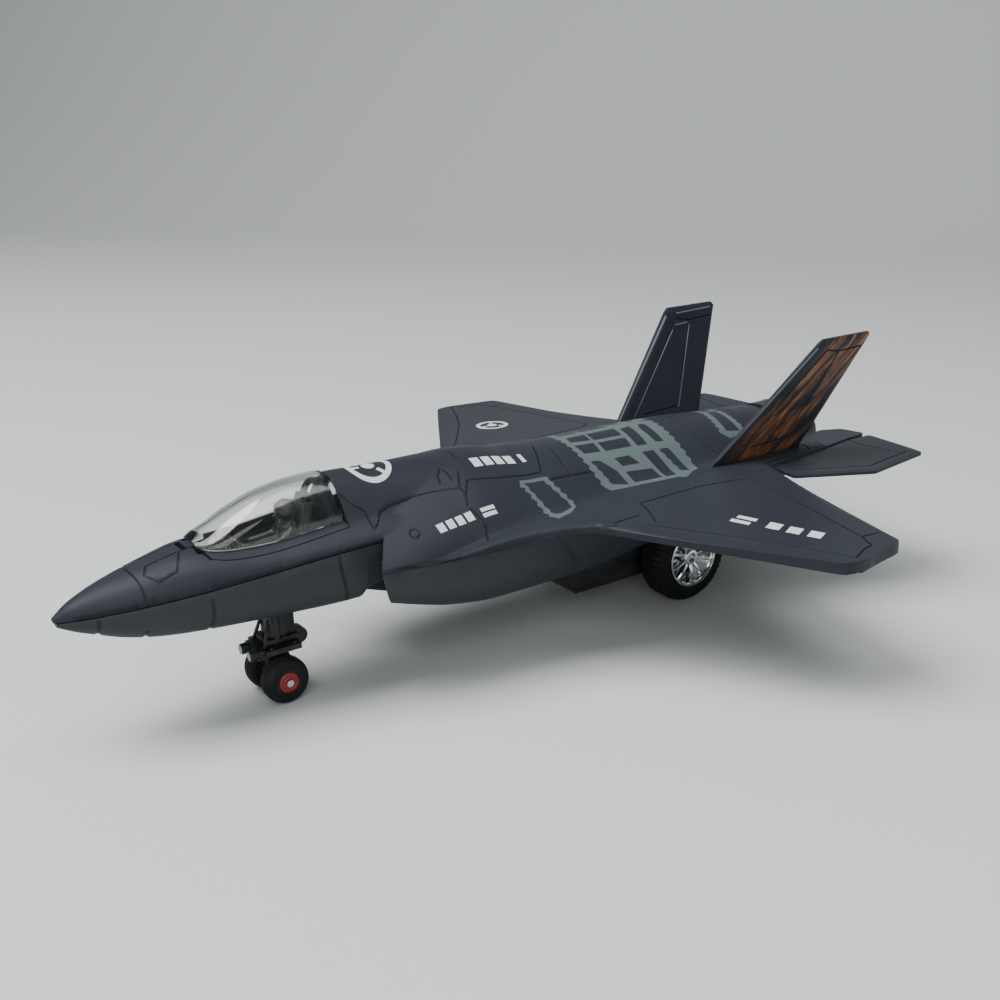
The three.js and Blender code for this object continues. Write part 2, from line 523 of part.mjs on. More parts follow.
function rearRim(side) {
  const [a, b] = [rear.inner + 0.4, rear.inner + rear.tyreWidth];
  const ring = (profile) => turnedX(profile.map(([x, r]) => [x * side, r]), rear.station, rear.radius, 24);
  const barrel = ring([[a, 7.9], [a, 8.5], [b + 0.3, 8.5], [b + 0.3, 7.7], [b - 1, 7.5]]);
  const disc = ring([[b - 5, 1.35], [b - 5, 3], [b - 6.2, 8.2], [b - 5.2, 8.2], [b - 3.6, 3.2],
    [b - 0.6, 2.3], [b - 0.6, 1.35]]);
  const spokes = Array.from({ length: 10 }, (_, i) => {
    const angle = ((Math.floor(i / 2) * 72 + (i % 2 ? 13 : -13)) * Math.PI) / 180;
    const bar = new THREE.BoxGeometry(1.6, 0.95, 6.4).translate(0, 0, 4.9);
    return solidOf(bar.rotateX(angle).translate(side * (b - 1.6), place(rear.station), rear.radius));
  });
  return join(barrel, disc, ...spokes);
}

const rearAxleEnd = rear.inner + rear.tyreWidth - 1.2;
const rearAxle = () => rodX(rear.axleRadius, -rearAxleEnd, rearAxleEnd, rear.station, rear.radius, 20);

// A spur gear with flat-sided teeth, drawn from its pitch circle.
function gear(teeth, x0, x1, station, height, bore, phase) {
  const pitch = (gearTeeth.module * teeth) / 2;
  const pace = (2 * Math.PI) / teeth;
  const outline = Array.from({ length: teeth }, (_, i) => [
    [pitch - 0.95, -0.34], [pitch + 0.5, -0.11], [pitch + 0.5, 0.11], [pitch - 0.95, 0.34],
  ].map(([r, share]) => {
    const angle = phase + pace * (i + share);
    return new THREE.Vector2(r * Math.cos(angle), r * Math.sin(angle));
  })).flat();
  const shape = new THREE.Shape(outline);
  shape.holes.push(new THREE.Path().absarc(0, 0, bore, 0, 2 * Math.PI, true));
  return solidOf(extrudeX(shape, x0, x1, 16).translate(0, place(station), height));
}

const pitchSum = (a, b) => (gearTeeth.module * (a + b)) / 2;
const meshAngle = { idler: THREE.MathUtils.degToRad(145), drum: THREE.MathUtils.degToRad(170) };
const idlerAt = {
  station: rear.station + Math.cos(meshAngle.idler) * pitchSum(gearTeeth.axle, gearTeeth.idlerBig),
  height: rear.radius + Math.sin(meshAngle.idler) * pitchSum(gearTeeth.axle, gearTeeth.idlerBig),
};
const drumAt = {
  station: idlerAt.station + Math.cos(meshAngle.drum) * pitchSum(gearTeeth.idlerSmall, gearTeeth.drum),
  height: idlerAt.height + Math.sin(meshAngle.drum) * pitchSum(gearTeeth.idlerSmall, gearTeeth.drum),
};
// A driven gear's teeth stand in the gaps of its driver, whose first tooth points along driverPhase.
function drivenPhase(angle, driverTeeth, driverPhase, teeth) {
  const offset = (angle - driverPhase) / ((2 * Math.PI) / driverTeeth);
  return angle + Math.PI + (0.5 + offset) * ((2 * Math.PI) / teeth);
}
const idlerPhase = drivenPhase(meshAngle.idler, gearTeeth.axle, 0, gearTeeth.idlerBig);
const drumPhase = drivenPhase(meshAngle.drum, gearTeeth.idlerSmall, idlerPhase, gearTeeth.drum);
const bigX = [-5.2, -5.2 + gearTeeth.width];
const smallX = [-2.4, 1];

const axlePinion = () => gear(gearTeeth.axle, bigX[0], bigX[1], rear.station, rear.radius,
  rear.axleRadius + 0.06, 0);

function idlerGear() {
  const { station, height } = idlerAt;
  const big = gear(gearTeeth.idlerBig, bigX[0], bigX[1], station, height, pinRadius + 0.07, idlerPhase);
  const small = gear(gearTeeth.idlerSmall, bigX[1] - 0.1, smallX[1], station, height, pinRadius + 0.07,
    idlerPhase);
  return join(big, small);
}

function drumGear() {
  const { station, height } = drumAt;
  const rim = turnedX([[0.2, 9.3], [0.2, 8.5], [6, 8.5], [6, 9.3]], station, height, 28);
  return join(gear(gearTeeth.drum, smallX[0] + 0.5, 0.6, station, height, pinRadius + 0.07, drumPhase), rim);
}

// The flat mainspring, wound inside the drum.
function mainspring() {
  const turns = 4;
  const count = turns * 14;
  const [first, last, thick] = [2.1, 7.9, 0.35];
  const edge = (shift) => steps(0, 1, count).map((t) => {
    const r = first + (last - first) * t + shift;
    return new THREE.Vector2(r * Math.cos(2 * Math.PI * turns * t), r * Math.sin(2 * Math.PI * turns * t));
  });
  const shape = new THREE.Shape([...edge(0), ...edge(thick).reverse()]);
  return solidOf(extrudeX(shape, 1.1, 5.7).translate(0, place(drumAt.station), drumAt.height));
}

const plateX = { left: [6.6, 7.8], right: [-7.2, -6] };
const pinLength = [plateX.right[0] + 0.1, plateX.left[1] - 0.1];
const gearPin = (at) => rodX(pinRadius, pinLength[0], pinLength[1], at.station, at.height, 16);

function gearboxPlate([x0, x1]) {
  const outline = [[140, 9.4], [178.6, 9.4], [181, 13], [181, 20], [168, 30], [158, 33], [140, 33]];
  const holes = [idlerAt, drumAt].map(({ station, height }) => rodX(pinRadius + 0.06, x0 - 1,
    x1 + 1, station, height, 16));
  return cut(sidePlate(outline, x0, x1), ...holes, rodX(rear.axleRadius + 0.09, x0 - 1, x1 + 1,
    rear.station, rear.radius, 20));
}

function chassisBox() {
  const { front, back, half, floor, wall: side } = motorBox;
  const top = (s) => bellyHeight(s) - gap;
  const outline = [[front + 1.6, floor], [back - 6, floor], [back, floor + 5], [back, top(back)],
    [160, top(160)], [front, top(front)], [front, floor + 1.6]];
  const inside = [[front + side, floor + side], [back - 6.4, floor + side], [back - side, floor + 6],
    [back - side, 40], [front + side, 40]];
  const flange = (from, to) => bodyLoft(steps(from, to, 4), () => 5, (x, s) => top(s) - 1.4,
    (x, s) => top(s));
  const shell = cut(sidePlate(outline, -half, half), sidePlate(inside, side - half, half - side));
  return cut(join(shell, flange(124.6, front + 0.6), flange(back - 0.6, 195.4)),
    rodX(rear.axleRadius + 0.4, -12, 12, rear.station, rear.radius, 20),
    ...boxScrews.map((s) => rodZ(screwHead.shank + 0.3, 0, 60, 0, s, 12)));
}

// ---- Screws ------------------------------------------------------------------------------------------
// A cross-head screw that points up, with the underside of its head at a height.
function screw(station, underside, reach) {
  const head = rodZ(screwHead.radius * 0.8, underside - screwHead.depth, underside, 0, station, 16,
    screwHead.radius);
  const shank = rodZ(screwHead.shank, underside - 0.1, underside + reach, 0, station, 12);
  const slots = [[1.2, 0.2], [0.2, 1.2]].map(([x, y]) => block([-x, place(station) - y, underside - 1.2],
    [x, place(station) + y, underside - 0.6]));
  return cut(join(head, shank), ...slots);
}

// ---- Scene --------------------------------------------------------------------------------------------
const paint = (color, roughness, metalness) => new THREE.MeshStandardMaterial({ color, roughness,
  metalness });
const materials = {
  skin: paint("#33363f", 0.5, 0.1),
  fuselage: paint("#2e3136", 0.55, 0),
  black: paint("#101113", 0.6, 0),
  rubber: paint("#17181a", 0.85, 0),
  chrome: paint("#c9cbce", 0.2, 1),
  steel: paint("#a8abae", 0.35, 1),
  red: paint("#8c1519", 0.45, 0),
  clear: new THREE.MeshStandardMaterial({ color: "#d8dcdc", roughness: 0.05, transparent: true,
    opacity: 0.3 }),
  cockpit: paint("#3b3d40", 0.6, 0),
  nylon: paint("#d9d4c4", 0.5, 0),
};

const fighter = new THREE.Group();
const canopy = new THREE.Group();
const noseWheels = new THREE.Group();
const rearWheels = new THREE.Group();
const motor = new THREE.Group();
fighter.add(canopy, noseWheels, rearWheels, motor);

function add(group, name, solid, material) {
  const mesh = new THREE.Mesh(geometryOf(solid), material);
  mesh.name = name;
  group.add(mesh);
}

add(fighter, "upper_shell", upperShell(), materials.skin);
add(fighter, "lower_shell", belly(), materials.fuselage);
add(fighter, "cockpit_tub", cockpitTub(), materials.cockpit);
add(fighter, "pilot_seat", seat(), materials.cockpit);
add(fighter, "pilot_figure", pilot(), materials.cockpit);
for (const [name, side] of [["left", 1], ["right", -1]]) {
  add(fighter, `${name}_fin`, fin(side), materials.skin);
  add(fighter, `${name}_stabilizer`, stabilizer(side), materials.skin);
}
add(fighter, "nozzle_ring", nozzleRing(), materials.black);
add(fighter, "nozzle_core", nozzleCore(), materials.black);
add(fighter, "nose_leg", noseLeg(), materials.black);

add(canopy, "canopy_frame", canopyFrame(), materials.skin);
add(canopy, "canopy_glass", canopyGlass(), materials.clear);
add(fighter, "canopy_hinge_pin", rodX(hinge.radius, -3.8, 3.8, hinge.station, hinge.height, 16),
  materials.steel);

add(noseWheels, "nose_axle", noseAxle(), materials.steel);
add(rearWheels, "rear_axle", rearAxle(), materials.steel);
for (const [name, side] of [["left", 1], ["right", -1]]) {
  add(noseWheels, `nose_tyre_${name}`, noseTyre(side), materials.rubber);
  add(noseWheels, `nose_hub_${name}`, noseHub(side), materials.red);
  add(rearWheels, `rear_tyre_${name}`, rearTyre(side), materials.rubber);
  add(rearWheels, `rear_rim_${name}`, rearRim(side), materials.chrome);
}
add(rearWheels, "axle_pinion", axlePinion(), materials.nylon);

add(motor, "chassis_box", chassisBox(), materials.black);
add(motor, "gearbox_plate_left", gearboxPlate(plateX.left), materials.nylon);
add(motor, "gearbox_plate_right", gearboxPlate(plateX.right), materials.nylon);
add(motor, "idler_pin", gearPin(idlerAt), materials.steel);
add(motor, "drum_pin", gearPin(drumAt), materials.steel);
add(motor, "idler_gear", idlerGear(), materials.nylon);
add(motor, "spring_drum", drumGear(), materials.nylon);
add(motor, "mainspring", mainspring(), materials.steel);

bellyScrews.forEach((s, i) => add(fighter, `belly_screw_${i + 1}`, screw(s, bellyHeight(s) + 2.2, 9),
  materials.steel));
boxScrews.forEach((s, i) => add(motor, `box_screw_${i + 1}`, screw(s, bellyHeight(s) - 2.05, 6),
  materials.steel));

export default fighter;
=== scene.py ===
# Looks for the toy jet: finer skins, wheels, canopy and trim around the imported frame.
# Lengths inside this file are millimetres; a station is the distance aft of the nose tip.
import math
import bpy
import bmesh
import numpy as np
from mathutils import Matrix, Vector
from mathutils.geometry import delaunay_2d_cdt


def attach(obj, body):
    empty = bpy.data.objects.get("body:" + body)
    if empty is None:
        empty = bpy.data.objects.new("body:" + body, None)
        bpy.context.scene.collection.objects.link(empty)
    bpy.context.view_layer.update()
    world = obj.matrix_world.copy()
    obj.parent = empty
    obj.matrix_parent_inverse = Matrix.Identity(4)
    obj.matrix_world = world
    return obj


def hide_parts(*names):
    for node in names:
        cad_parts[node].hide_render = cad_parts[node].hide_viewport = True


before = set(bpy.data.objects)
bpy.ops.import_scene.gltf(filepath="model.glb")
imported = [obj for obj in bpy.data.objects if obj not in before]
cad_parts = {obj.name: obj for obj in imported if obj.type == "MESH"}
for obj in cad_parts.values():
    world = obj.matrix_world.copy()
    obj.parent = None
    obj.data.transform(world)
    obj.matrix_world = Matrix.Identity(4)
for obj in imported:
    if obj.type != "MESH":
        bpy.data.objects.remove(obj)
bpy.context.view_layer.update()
millimetre = 0.001
halfLength = 120
tau = 2 * math.pi


def place(station):
    return station - halfLength


def newObject(name, data):
    made = bpy.data.objects.new(name, data)
    bpy.context.scene.collection.objects.link(made)
    return made


# camera
cameraSetup = {"at": (0.2602, -0.1764, 0.1451), "azimuth": 55.96, "elevation": 19.11,
               "roll": -1.388, "lens": 44.3}


def makeCamera(setup):
    azimuth, elevation, roll = (math.radians(setup[k]) for k in ("azimuth", "elevation", "roll"))
    back = Vector((math.sin(azimuth) * math.cos(elevation), -math.cos(azimuth) * math.cos(elevation),
                   math.sin(elevation)))
    right = (-back).cross(Vector((0, 0, 1))).normalized()
    up = right.cross(-back)
    across = math.cos(roll) * right + math.sin(roll) * up
    over = math.cos(roll) * up - math.sin(roll) * right
    data = bpy.data.cameras.new("camera")
    data.lens = setup["lens"]
    data.sensor_width = 36
    data.clip_start = 0.01
    camera = newObject("camera", data)
    camera.matrix_world = Matrix.Translation(setup["at"]) @ Matrix((across, over,
                                                                    back)).transposed().to_4x4()
    bpy.context.scene.camera = camera


makeCamera(cameraSetup)
print("camera made")


# shader groups
class Graph:
    def __init__(self, tree):
        self.tree = tree

    def add(self, kind, inputs=None, **values):
        node = self.tree.nodes.new(kind)
        for key, value in values.items():
            setattr(node, key, value)
        for key, value in (inputs or {}).items():
            if isinstance(value, bpy.types.NodeSocket):
                self.tree.links.new(value, node.inputs[key])
            else:
                node.inputs[key].default_value = value
        return node

    def math(self, operation, a, b=0.0, clamp=False):
        return self.add("ShaderNodeMath", {0: a, 1: b}, operation=operation, use_clamp=clamp).outputs[0]

    def mix(self, factor, a, b, blend="MIX"):
        node = self.add("ShaderNodeMix", data_type="RGBA", blend_type=blend)
        for key, value in ((0, factor), (6, a), (7, b)):
            if isinstance(value, bpy.types.NodeSocket):
                self.tree.links.new(value, node.inputs[key])
            else:
                node.inputs[key].default_value = value
        return node.outputs[2]

    def ramp(self, value, low, high, start=0.0, end=1.0):
        node = self.add("ShaderNodeMapRange", {"Value": value, "From Min": low, "From Max": high,
                                               "To Min": start, "To Max": end}, clamp=True)
        return node.outputs[0]


def newGroup(name, inputs, outputs):
    tree = bpy.data.node_groups.new(name, "ShaderNodeTree")
    for key, value in inputs.items():
        kind = "NodeSocketColor" if isinstance(value, tuple) else "NodeSocketFloat"
        tree.interface.new_socket(key, in_out="INPUT", socket_type=kind).default_value = value
    for key in outputs:
        tree.interface.new_socket(key, in_out="OUTPUT", socket_type="NodeSocketFloat")
    graph = Graph(tree)
    return graph, graph.add("NodeGroupInput").outputs, graph.add("NodeGroupOutput")


def finishGroup(graph, end, **values):
    for key, value in values.items():
        graph.tree.links.new(value, end.inputs[key])
    return graph.tree


def makeMottle():
    # slow cloudy change of tone
    graph, given, end = newGroup("mottle", {"Scale": 40.0, "Contrast": 1.0}, ["Mask"])
    at = graph.add("ShaderNodeTexCoord").outputs["Object"]
    slow = graph.add("ShaderNodeTexNoise", {"Vector": at, "Scale": given["Scale"],
                                            "Detail": 4.0}).outputs[0]
    low = graph.math("MULTIPLY", given["Contrast"], -0.18)
    share = graph.ramp(slow, 0.32, 0.68)
    shifted = graph.math("ADD", share, low)
    return finishGroup(graph, end, Mask=graph.math("MULTIPLY", shifted, given["Contrast"], True))


def makeGrain():
    # the skin of spray paint or moulded plastic, as a height
    graph, given, end = newGroup("grain", {"Scale": 1500.0, "Peel": 0.4}, ["Height", "Speck"])
    at = graph.add("ShaderNodeTexCoord").outputs["Object"]
    fine = graph.add("ShaderNodeTexNoise", {"Vector": at, "Scale": given["Scale"],
                                            "Detail": 3.0}).outputs[0]
    quarter = graph.math("MULTIPLY", given["Scale"], 0.22)
    peel = graph.add("ShaderNodeTexVoronoi", {"Vector": at, "Scale": quarter},
                     feature="SMOOTH_F1").outputs[0]
    height = graph.math("ADD", fine, graph.math("MULTIPLY", peel, given["Peel"]))
    return finishGroup(graph, end, Height=height, Speck=graph.ramp(fine, 0.62, 0.78))


def makeEdgeWear():
    # rubbed corners, broken up by noise
    graph, given, end = newGroup("edge wear", {"Reach": 0.06, "Scale": 260.0}, ["Mask"])
    corner = graph.add("ShaderNodeNewGeometry").outputs["Pointiness"]
    above = graph.math("SUBTRACT", corner, 0.5)
    share = graph.math("DIVIDE", above, given["Reach"], True)
    at = graph.add("ShaderNodeTexCoord").outputs["Object"]
    rough = graph.add("ShaderNodeTexNoise", {"Vector": at, "Scale": given["Scale"],
                                             "Detail": 5.0}).outputs[0]
    return finishGroup(graph, end, Mask=graph.math("MULTIPLY", share, graph.ramp(rough, 0.4, 0.62), True))


def makeDust():
    # pale dust on what faces up
    graph, given, end = newGroup("dust", {"Amount": 0.15, "Scale": 90.0}, ["Mask"])
    facing = graph.add("ShaderNodeSeparateXYZ", {0: graph.add("ShaderNodeNewGeometry").outputs["Normal"]})
    at = graph.add("ShaderNodeTexCoord").outputs["Object"]
    cloud = graph.add("ShaderNodeTexNoise", {"Vector": at, "Scale": given["Scale"], "Detail": 8.0,
                                             "Roughness": 0.7}).outputs[0]
    flat = graph.ramp(facing.outputs["Z"], 0.2, 0.95)
    share = graph.math("MULTIPLY", flat, graph.ramp(cloud, 0.45, 0.75))
    return finishGroup(graph, end, Mask=graph.math("MULTIPLY", share, given["Amount"], True))


def makeGrooveShadeGrime():
    # painted shade and grime darken the engraved lines, and painted shade darkens the band along the shell
    # seam; the mesh carries where they are
    graph, given, end = newGroup("groove shade and grime", {"Amount": 0.8}, ["Mask"])
    line = graph.add("ShaderNodeAttribute", attribute_name="groove").outputs["Fac"]
    return finishGroup(graph, end, Mask=graph.math("MULTIPLY", line, given["Amount"], True))


def makeBrushed():
    # fine parallel scratches along one axis of the piece
    graph, given, end = newGroup("brushed", {"Scale": 500.0, "Stretch": 30.0}, ["Height"])
    at = graph.add("ShaderNodeTexCoord").outputs["Object"]
    parts = graph.add("ShaderNodeSeparateXYZ", {0: at})
    slow = graph.math("DIVIDE", parts.outputs["X"], given["Stretch"])
    joined = graph.add("ShaderNodeCombineXYZ", {"X": slow, "Y": parts.outputs["Y"],
                                                "Z": parts.outputs["Z"]})
    lines = graph.add("ShaderNodeTexNoise", {"Vector": joined.outputs[0], "Scale": given["Scale"],
                                             "Detail": 4.0}).outputs[0]
    return finishGroup(graph, end, Height=lines)


groups = {"mottle": makeMottle(), "grain": makeGrain(), "edgeWear": makeEdgeWear(), "dust": makeDust(),
          "grooveShadeGrime": makeGrooveShadeGrime(), "brushed": makeBrushed()}


def placeGroup(graph, key, **values):
    node = graph.add("ShaderNodeGroup", node_tree=groups[key])
    for name, value in values.items():
        node.inputs[name].default_value = value
    return node.outputs


# materials
def colour(red, green, blue):
    return (red, green, blue, 1.0)


# What every opaque finish starts from; each material changes what it needs.
# grooves and grooveTone set the painted shade and grime laid into engraved lines and the seam band
plainFinish = {"tone": colour(0.04, 0.04, 0.045), "second": colour(0.03, 0.03, 0.035), "roughness": 0.5,
               "metallic": 0.0, "mottleScale": 35.0, "contrast": 1.0, "grainScale": 1500.0, "peel": 0.4,
               "bump": 0.06, "wear": 0.25, "wearTone": colour(0.12, 0.12, 0.13), "wearReach": 0.06,
               "dust": 0.05, "dustTone": colour(0.35, 0.35, 0.34), "grooves": 0.75,
               "grooveTone": colour(0.006, 0.007, 0.009), "coat": 0.0, "specular": 0.5,
               "fade": None}


def newMaterial(name):
    material = bpy.data.materials.new(name)
    material.use_nodes = True
    graph = Graph(material.node_tree)
    shader = material.node_tree.nodes["Principled BSDF"]
    return material, graph, shader


def makeFinish(name, art=None, **changes):
    look = {**plainFinish, **changes}
    material, graph, shader = newMaterial(name)
    mottle = placeGroup(graph, "mottle", Scale=look["mottleScale"], Contrast=look["contrast"])["Mask"]
    tone = graph.mix(mottle, look["tone"], look["second"])
    if art:
        tone = flameArt(graph, tone, art)
    if look["fade"]:  # painted shade: a slow darkening along one direction, standing in for light that falls off towards the back
        at = graph.add("ShaderNodeTexCoord").outputs["Object"]
        depth = graph.add("ShaderNodeVectorMath", {0: at, 1: look["fade"]["axis"]},
                          operation="DOT_PRODUCT")
        share = graph.ramp(depth.outputs["Value"], *look["fade"]["reach"])
        tone = graph.mix(share, tone, look["fade"]["tone"])
    grain = placeGroup(graph, "grain", Scale=look["grainScale"], Peel=look["peel"])
    # painted shade and grime: engraved lines and the seam band mixed towards the near-black grooveTone
    shadeGrimeMask = placeGroup(graph, "grooveShadeGrime", Amount=look["grooves"])["Mask"]
    tone = graph.mix(shadeGrimeMask, tone, look["grooveTone"])
    wear = placeGroup(graph, "edgeWear", Reach=look["wearReach"])["Mask"]
    worn = graph.math("MULTIPLY", wear, look["wear"])
    tone = graph.mix(worn, tone, look["wearTone"])
    dust = placeGroup(graph, "dust", Amount=look["dust"])["Mask"]
    tone = graph.mix(dust, tone, look["dustTone"])
    graph.tree.links.new(tone, shader.inputs["Base Color"])
    rough = graph.math("ADD", graph.math("MULTIPLY", mottle, 0.08), look["roughness"])
    rough = graph.math("ADD", rough, graph.math("MULTIPLY", grain["Speck"], 0.1))
    rough = graph.math("ADD", rough, graph.math("MULTIPLY", dust, 0.6), True)
    graph.tree.links.new(rough, shader.inputs["Roughness"])
    bump = graph.add("ShaderNodeBump", {"Strength": look["bump"], "Distance": 0.0002,
                                        "Height": grain["Height"]})
    graph.tree.links.new(bump.outputs[0], shader.inputs["Normal"])
    shader.inputs["Metallic"].default_value = look["metallic"]
    shader.inputs["Coat Weight"].default_value = look["coat"]
    shader.inputs["Coat Roughness"].default_value = 0.3
    shader.inputs["Specular IOR Level"].default_value = look["specular"]
    return material


def flameArt(graph, tone, outward):
    # loose brushed streaks that run up a fin's outer face, rust to tan, over the dark paint
    at = graph.add("ShaderNodeTexCoord").outputs["Object"]
    swept = graph.add("ShaderNodeVectorRotate", {"Vector": at, "Angle": math.radians(-50)},
                      rotation_type="X_AXIS").outputs[0]
    turned = graph.add("ShaderNodeMapping", {"Vector": swept, "Scale": (60, 26, 190)}).outputs[0]
    streaks = graph.add("ShaderNodeTexNoise", {"Vector": turned, "Scale": 1.0, "Detail": 7.0,
                                               "Roughness": 0.62, "Distortion": 1.1}).outputs[0]
    fine = graph.add("ShaderNodeTexNoise", {"Vector": turned, "Scale": 5.0, "Detail": 5.0}).outputs[0]
    warm = graph.mix(graph.ramp(fine, 0.35, 0.65), colour(0.16, 0.045, 0.008), colour(0.36, 0.17, 0.08))
    outboard = graph.add("ShaderNodeSeparateXYZ",
                         {0: graph.add("ShaderNodeNewGeometry").outputs["Normal"]})
    side = graph.ramp(graph.math("MULTIPLY", outboard.outputs["X"], outward), 0.55, 0.75)
    spread = graph.add("ShaderNodeSeparateXYZ", {0: at})
    # the streaks keep to a band between the leading edge and the rudder line
    lean = graph.math("MULTIPLY", spread.outputs["Z"], 0.72)
    aft = graph.math("SUBTRACT", spread.outputs["Y"], lean)
    band = graph.math("MULTIPLY", graph.ramp(aft, 0.0285, 0.036), graph.ramp(aft, 0.062, 0.054))
    share = graph.math("MULTIPLY", graph.ramp(streaks, 0.44, 0.58), band)
    return graph.mix(graph.math("MULTIPLY", share, side, True), tone, warm)


paint = {"tone": colour(0.019, 0.022, 0.031), "second": colour(0.024, 0.028, 0.037), "roughness": 0.44,
         "metallic": 0.0, "grainScale": 1100.0, "bump": 0.09, "wear": 0.1, "wearReach": 0.12,
         "wearTone": colour(0.07, 0.08, 0.10), "specular": 0.17, "dust": 0.008, "mottleScale": 22.0}
materials = {
    "paint": makeFinish("shell paint", **paint),
    "print": makeFinish("grey green print", **{**paint, "tone": colour(0.10, 0.13, 0.13),
                        "second": colour(0.085, 0.11, 0.112), "roughness": 0.5, "metallic": 0.0,
                                               "grooves": 0.4}),
    "white": makeFinish("white print", **{**paint, "tone": colour(0.62, 0.66, 0.68), "roughness": 0.5,
                        "second": colour(0.52, 0.56, 0.58), "metallic": 0.0, "wear": 0.0,
                                          "grooves": 0.3}),
    "belly": makeFinish("belly plastic", tone=colour(0.021, 0.024, 0.030), second=colour(0.026, 0.030,
            0.036),
                        roughness=0.5, wear=0.1, specular=0.3, grainScale=1700.0, bump=0.12,
                        mottleScale=28.0),
    "fin": makeFinish("fin paint", **paint),
    "artLeft": makeFinish("left fin art", art=1.0, **paint),
    "artRight": makeFinish("right fin art", art=-1.0, **paint),
    "edge": makeFinish("fin edge print", **{**paint, "tone": colour(0.16, 0.18, 0.20), "metallic": 0.0,
                       "second": colour(0.11, 0.125, 0.14)}),
    "frame": makeFinish("frame plastic", **{**paint, "roughness": 0.45}),
    "cockpit": makeFinish("cockpit plastic", tone=colour(0.05, 0.054, 0.056), second=colour(0.036, 0.039,
            0.042),
                          roughness=0.45, bump=0.1, wear=0.3, wearTone=colour(0.12, 0.12, 0.125),
                          dust=0.01, specular=0.35),
    "dial": makeFinish("dial print", tone=colour(0.35, 0.37, 0.38), second=colour(0.28, 0.3, 0.3),
                       roughness=0.4,
                       wear=0.0),
    "pilot": makeFinish("pilot plastic", tone=colour(0.06, 0.063, 0.063), second=colour(0.045, 0.048,
            0.048),
                        roughness=0.38, bump=0.1, wear=0.3, wearTone=colour(0.13, 0.13, 0.13), dust=0.01),
    "visor": makeFinish("visor plastic", tone=colour(0.015, 0.016, 0.018), second=colour(0.02, 0.02,
            0.024),
                        roughness=0.14, bump=0.02, coat=0.5),
    "black": makeFinish("black plastic", tone=colour(0.008, 0.009, 0.012), second=colour(0.012, 0.013,
            0.016),
                        roughness=0.42, bump=0.1, wear=0.4, wearTone=colour(0.05, 0.05, 0.055),
                        specular=0.3,
                        dust=0.01),
    "soot": makeFinish("nozzle plastic", tone=colour(0.022, 0.022, 0.024), second=colour(0.035, 0.034,
            0.033),
                       roughness=0.5, metallic=0.3, bump=0.15, mottleScale=120.0),
    "rubber": makeFinish("tyre rubber", tone=colour(0.006, 0.006, 0.007), second=colour(0.010, 0.010,
            0.011),
                         roughness=0.68, grainScale=2600.0, bump=0.25, wear=0.5, dust=0.04,
                         wearTone=colour(0.03, 0.03, 0.031), specular=0.25),
    "red": makeFinish("hub red", tone=colour(0.25, 0.012, 0.016), second=colour(0.18, 0.010, 0.013),
                      roughness=0.35, bump=0.05, wearTone=colour(0.4, 0.06, 0.06)),
    "nylon": makeFinish("gear nylon", tone=colour(0.62, 0.58, 0.47), second=colour(0.55, 0.51, 0.41),
                        roughness=0.45, bump=0.08, wearTone=colour(0.7, 0.68, 0.6), specular=0.45),
    "backdrop": makeFinish("backdrop paper", tone=colour(0.64, 0.665, 0.66), second=colour(0.62, 0.645,
            0.64),
                           roughness=0.9, grainScale=900.0, bump=0.03, wear=0.0, dust=0.0, grooves=0.0,
                           mottleScale=1.5, specular=0.2,
                           # painted shade: the backdrop turns darker towards the back, as if less lit there
                           fade={"axis": (-0.56, 0.83, 0), "reach": (-0.2, 0.6), "tone": colour(0.47,
                                   0.49, 0.487)}),
}


def makeMetal(name, tone, second, roughness, stretch, bump):
    material, graph, shader = newMaterial(name)
    mottle = placeGroup(graph, "mottle", Scale=180.0, Contrast=1.0)["Mask"]
    lines = placeGroup(graph, "brushed", Stretch=stretch)["Height"]
    graph.tree.links.new(graph.mix(mottle, tone, second), shader.inputs["Base Color"])
    rough = graph.math("ADD", graph.math("MULTIPLY", lines, 0.12), roughness)
    graph.tree.links.new(graph.math("ADD", rough, graph.math("MULTIPLY", mottle, 0.06), True),
                         shader.inputs["Roughness"])
    bumpNode = graph.add("ShaderNodeBump", {"Strength": bump, "Distance": 0.0001, "Height": lines})
    graph.tree.links.new(bumpNode.outputs[0], shader.inputs["Normal"])
    shader.inputs["Metallic"].default_value = 1.0
    return material


materials["chrome"] = makeMetal("wheel chrome", colour(0.80, 0.81, 0.83), colour(0.68, 0.69, 0.71), 0.06,
                                1.0, 0.03)
materials["steel"] = makeMetal("pin steel", colour(0.55, 0.55, 0.56), colour(0.42, 0.42, 0.43), 0.22,
                               30.0, 0.12)


def makeGlass():
    # clear moulded canopy: faint smudges in the gloss, slight flow lines in the surface
    material, graph, shader = newMaterial("canopy clear")
    mottle = placeGroup(graph, "mottle", Scale=60.0, Contrast=1.0)["Mask"]
    rough = graph.math("ADD", graph.math("MULTIPLY", mottle, 0.05), 0.035)
    graph.tree.links.new(rough, shader.inputs["Roughness"])
    flow = placeGroup(graph, "grain", Scale=120.0, Peel=0.3)["Height"]
    bump = graph.add("ShaderNodeBump", {"Strength": 0.04, "Distance": 0.0003, "Height": flow})
    graph.tree.links.new(bump.outputs[0], shader.inputs["Normal"])
    tone = graph.mix(mottle, colour(0.93, 0.94, 0.93), colour(0.87, 0.885, 0.875))
    graph.tree.links.new(tone, shader.inputs["Base Color"])
    shader.inputs["Transmission Weight"].default_value = 1.0
    shader.inputs["IOR"].default_value = 1.46
    return material


materials["glass"] = makeGlass()
print("materials made")


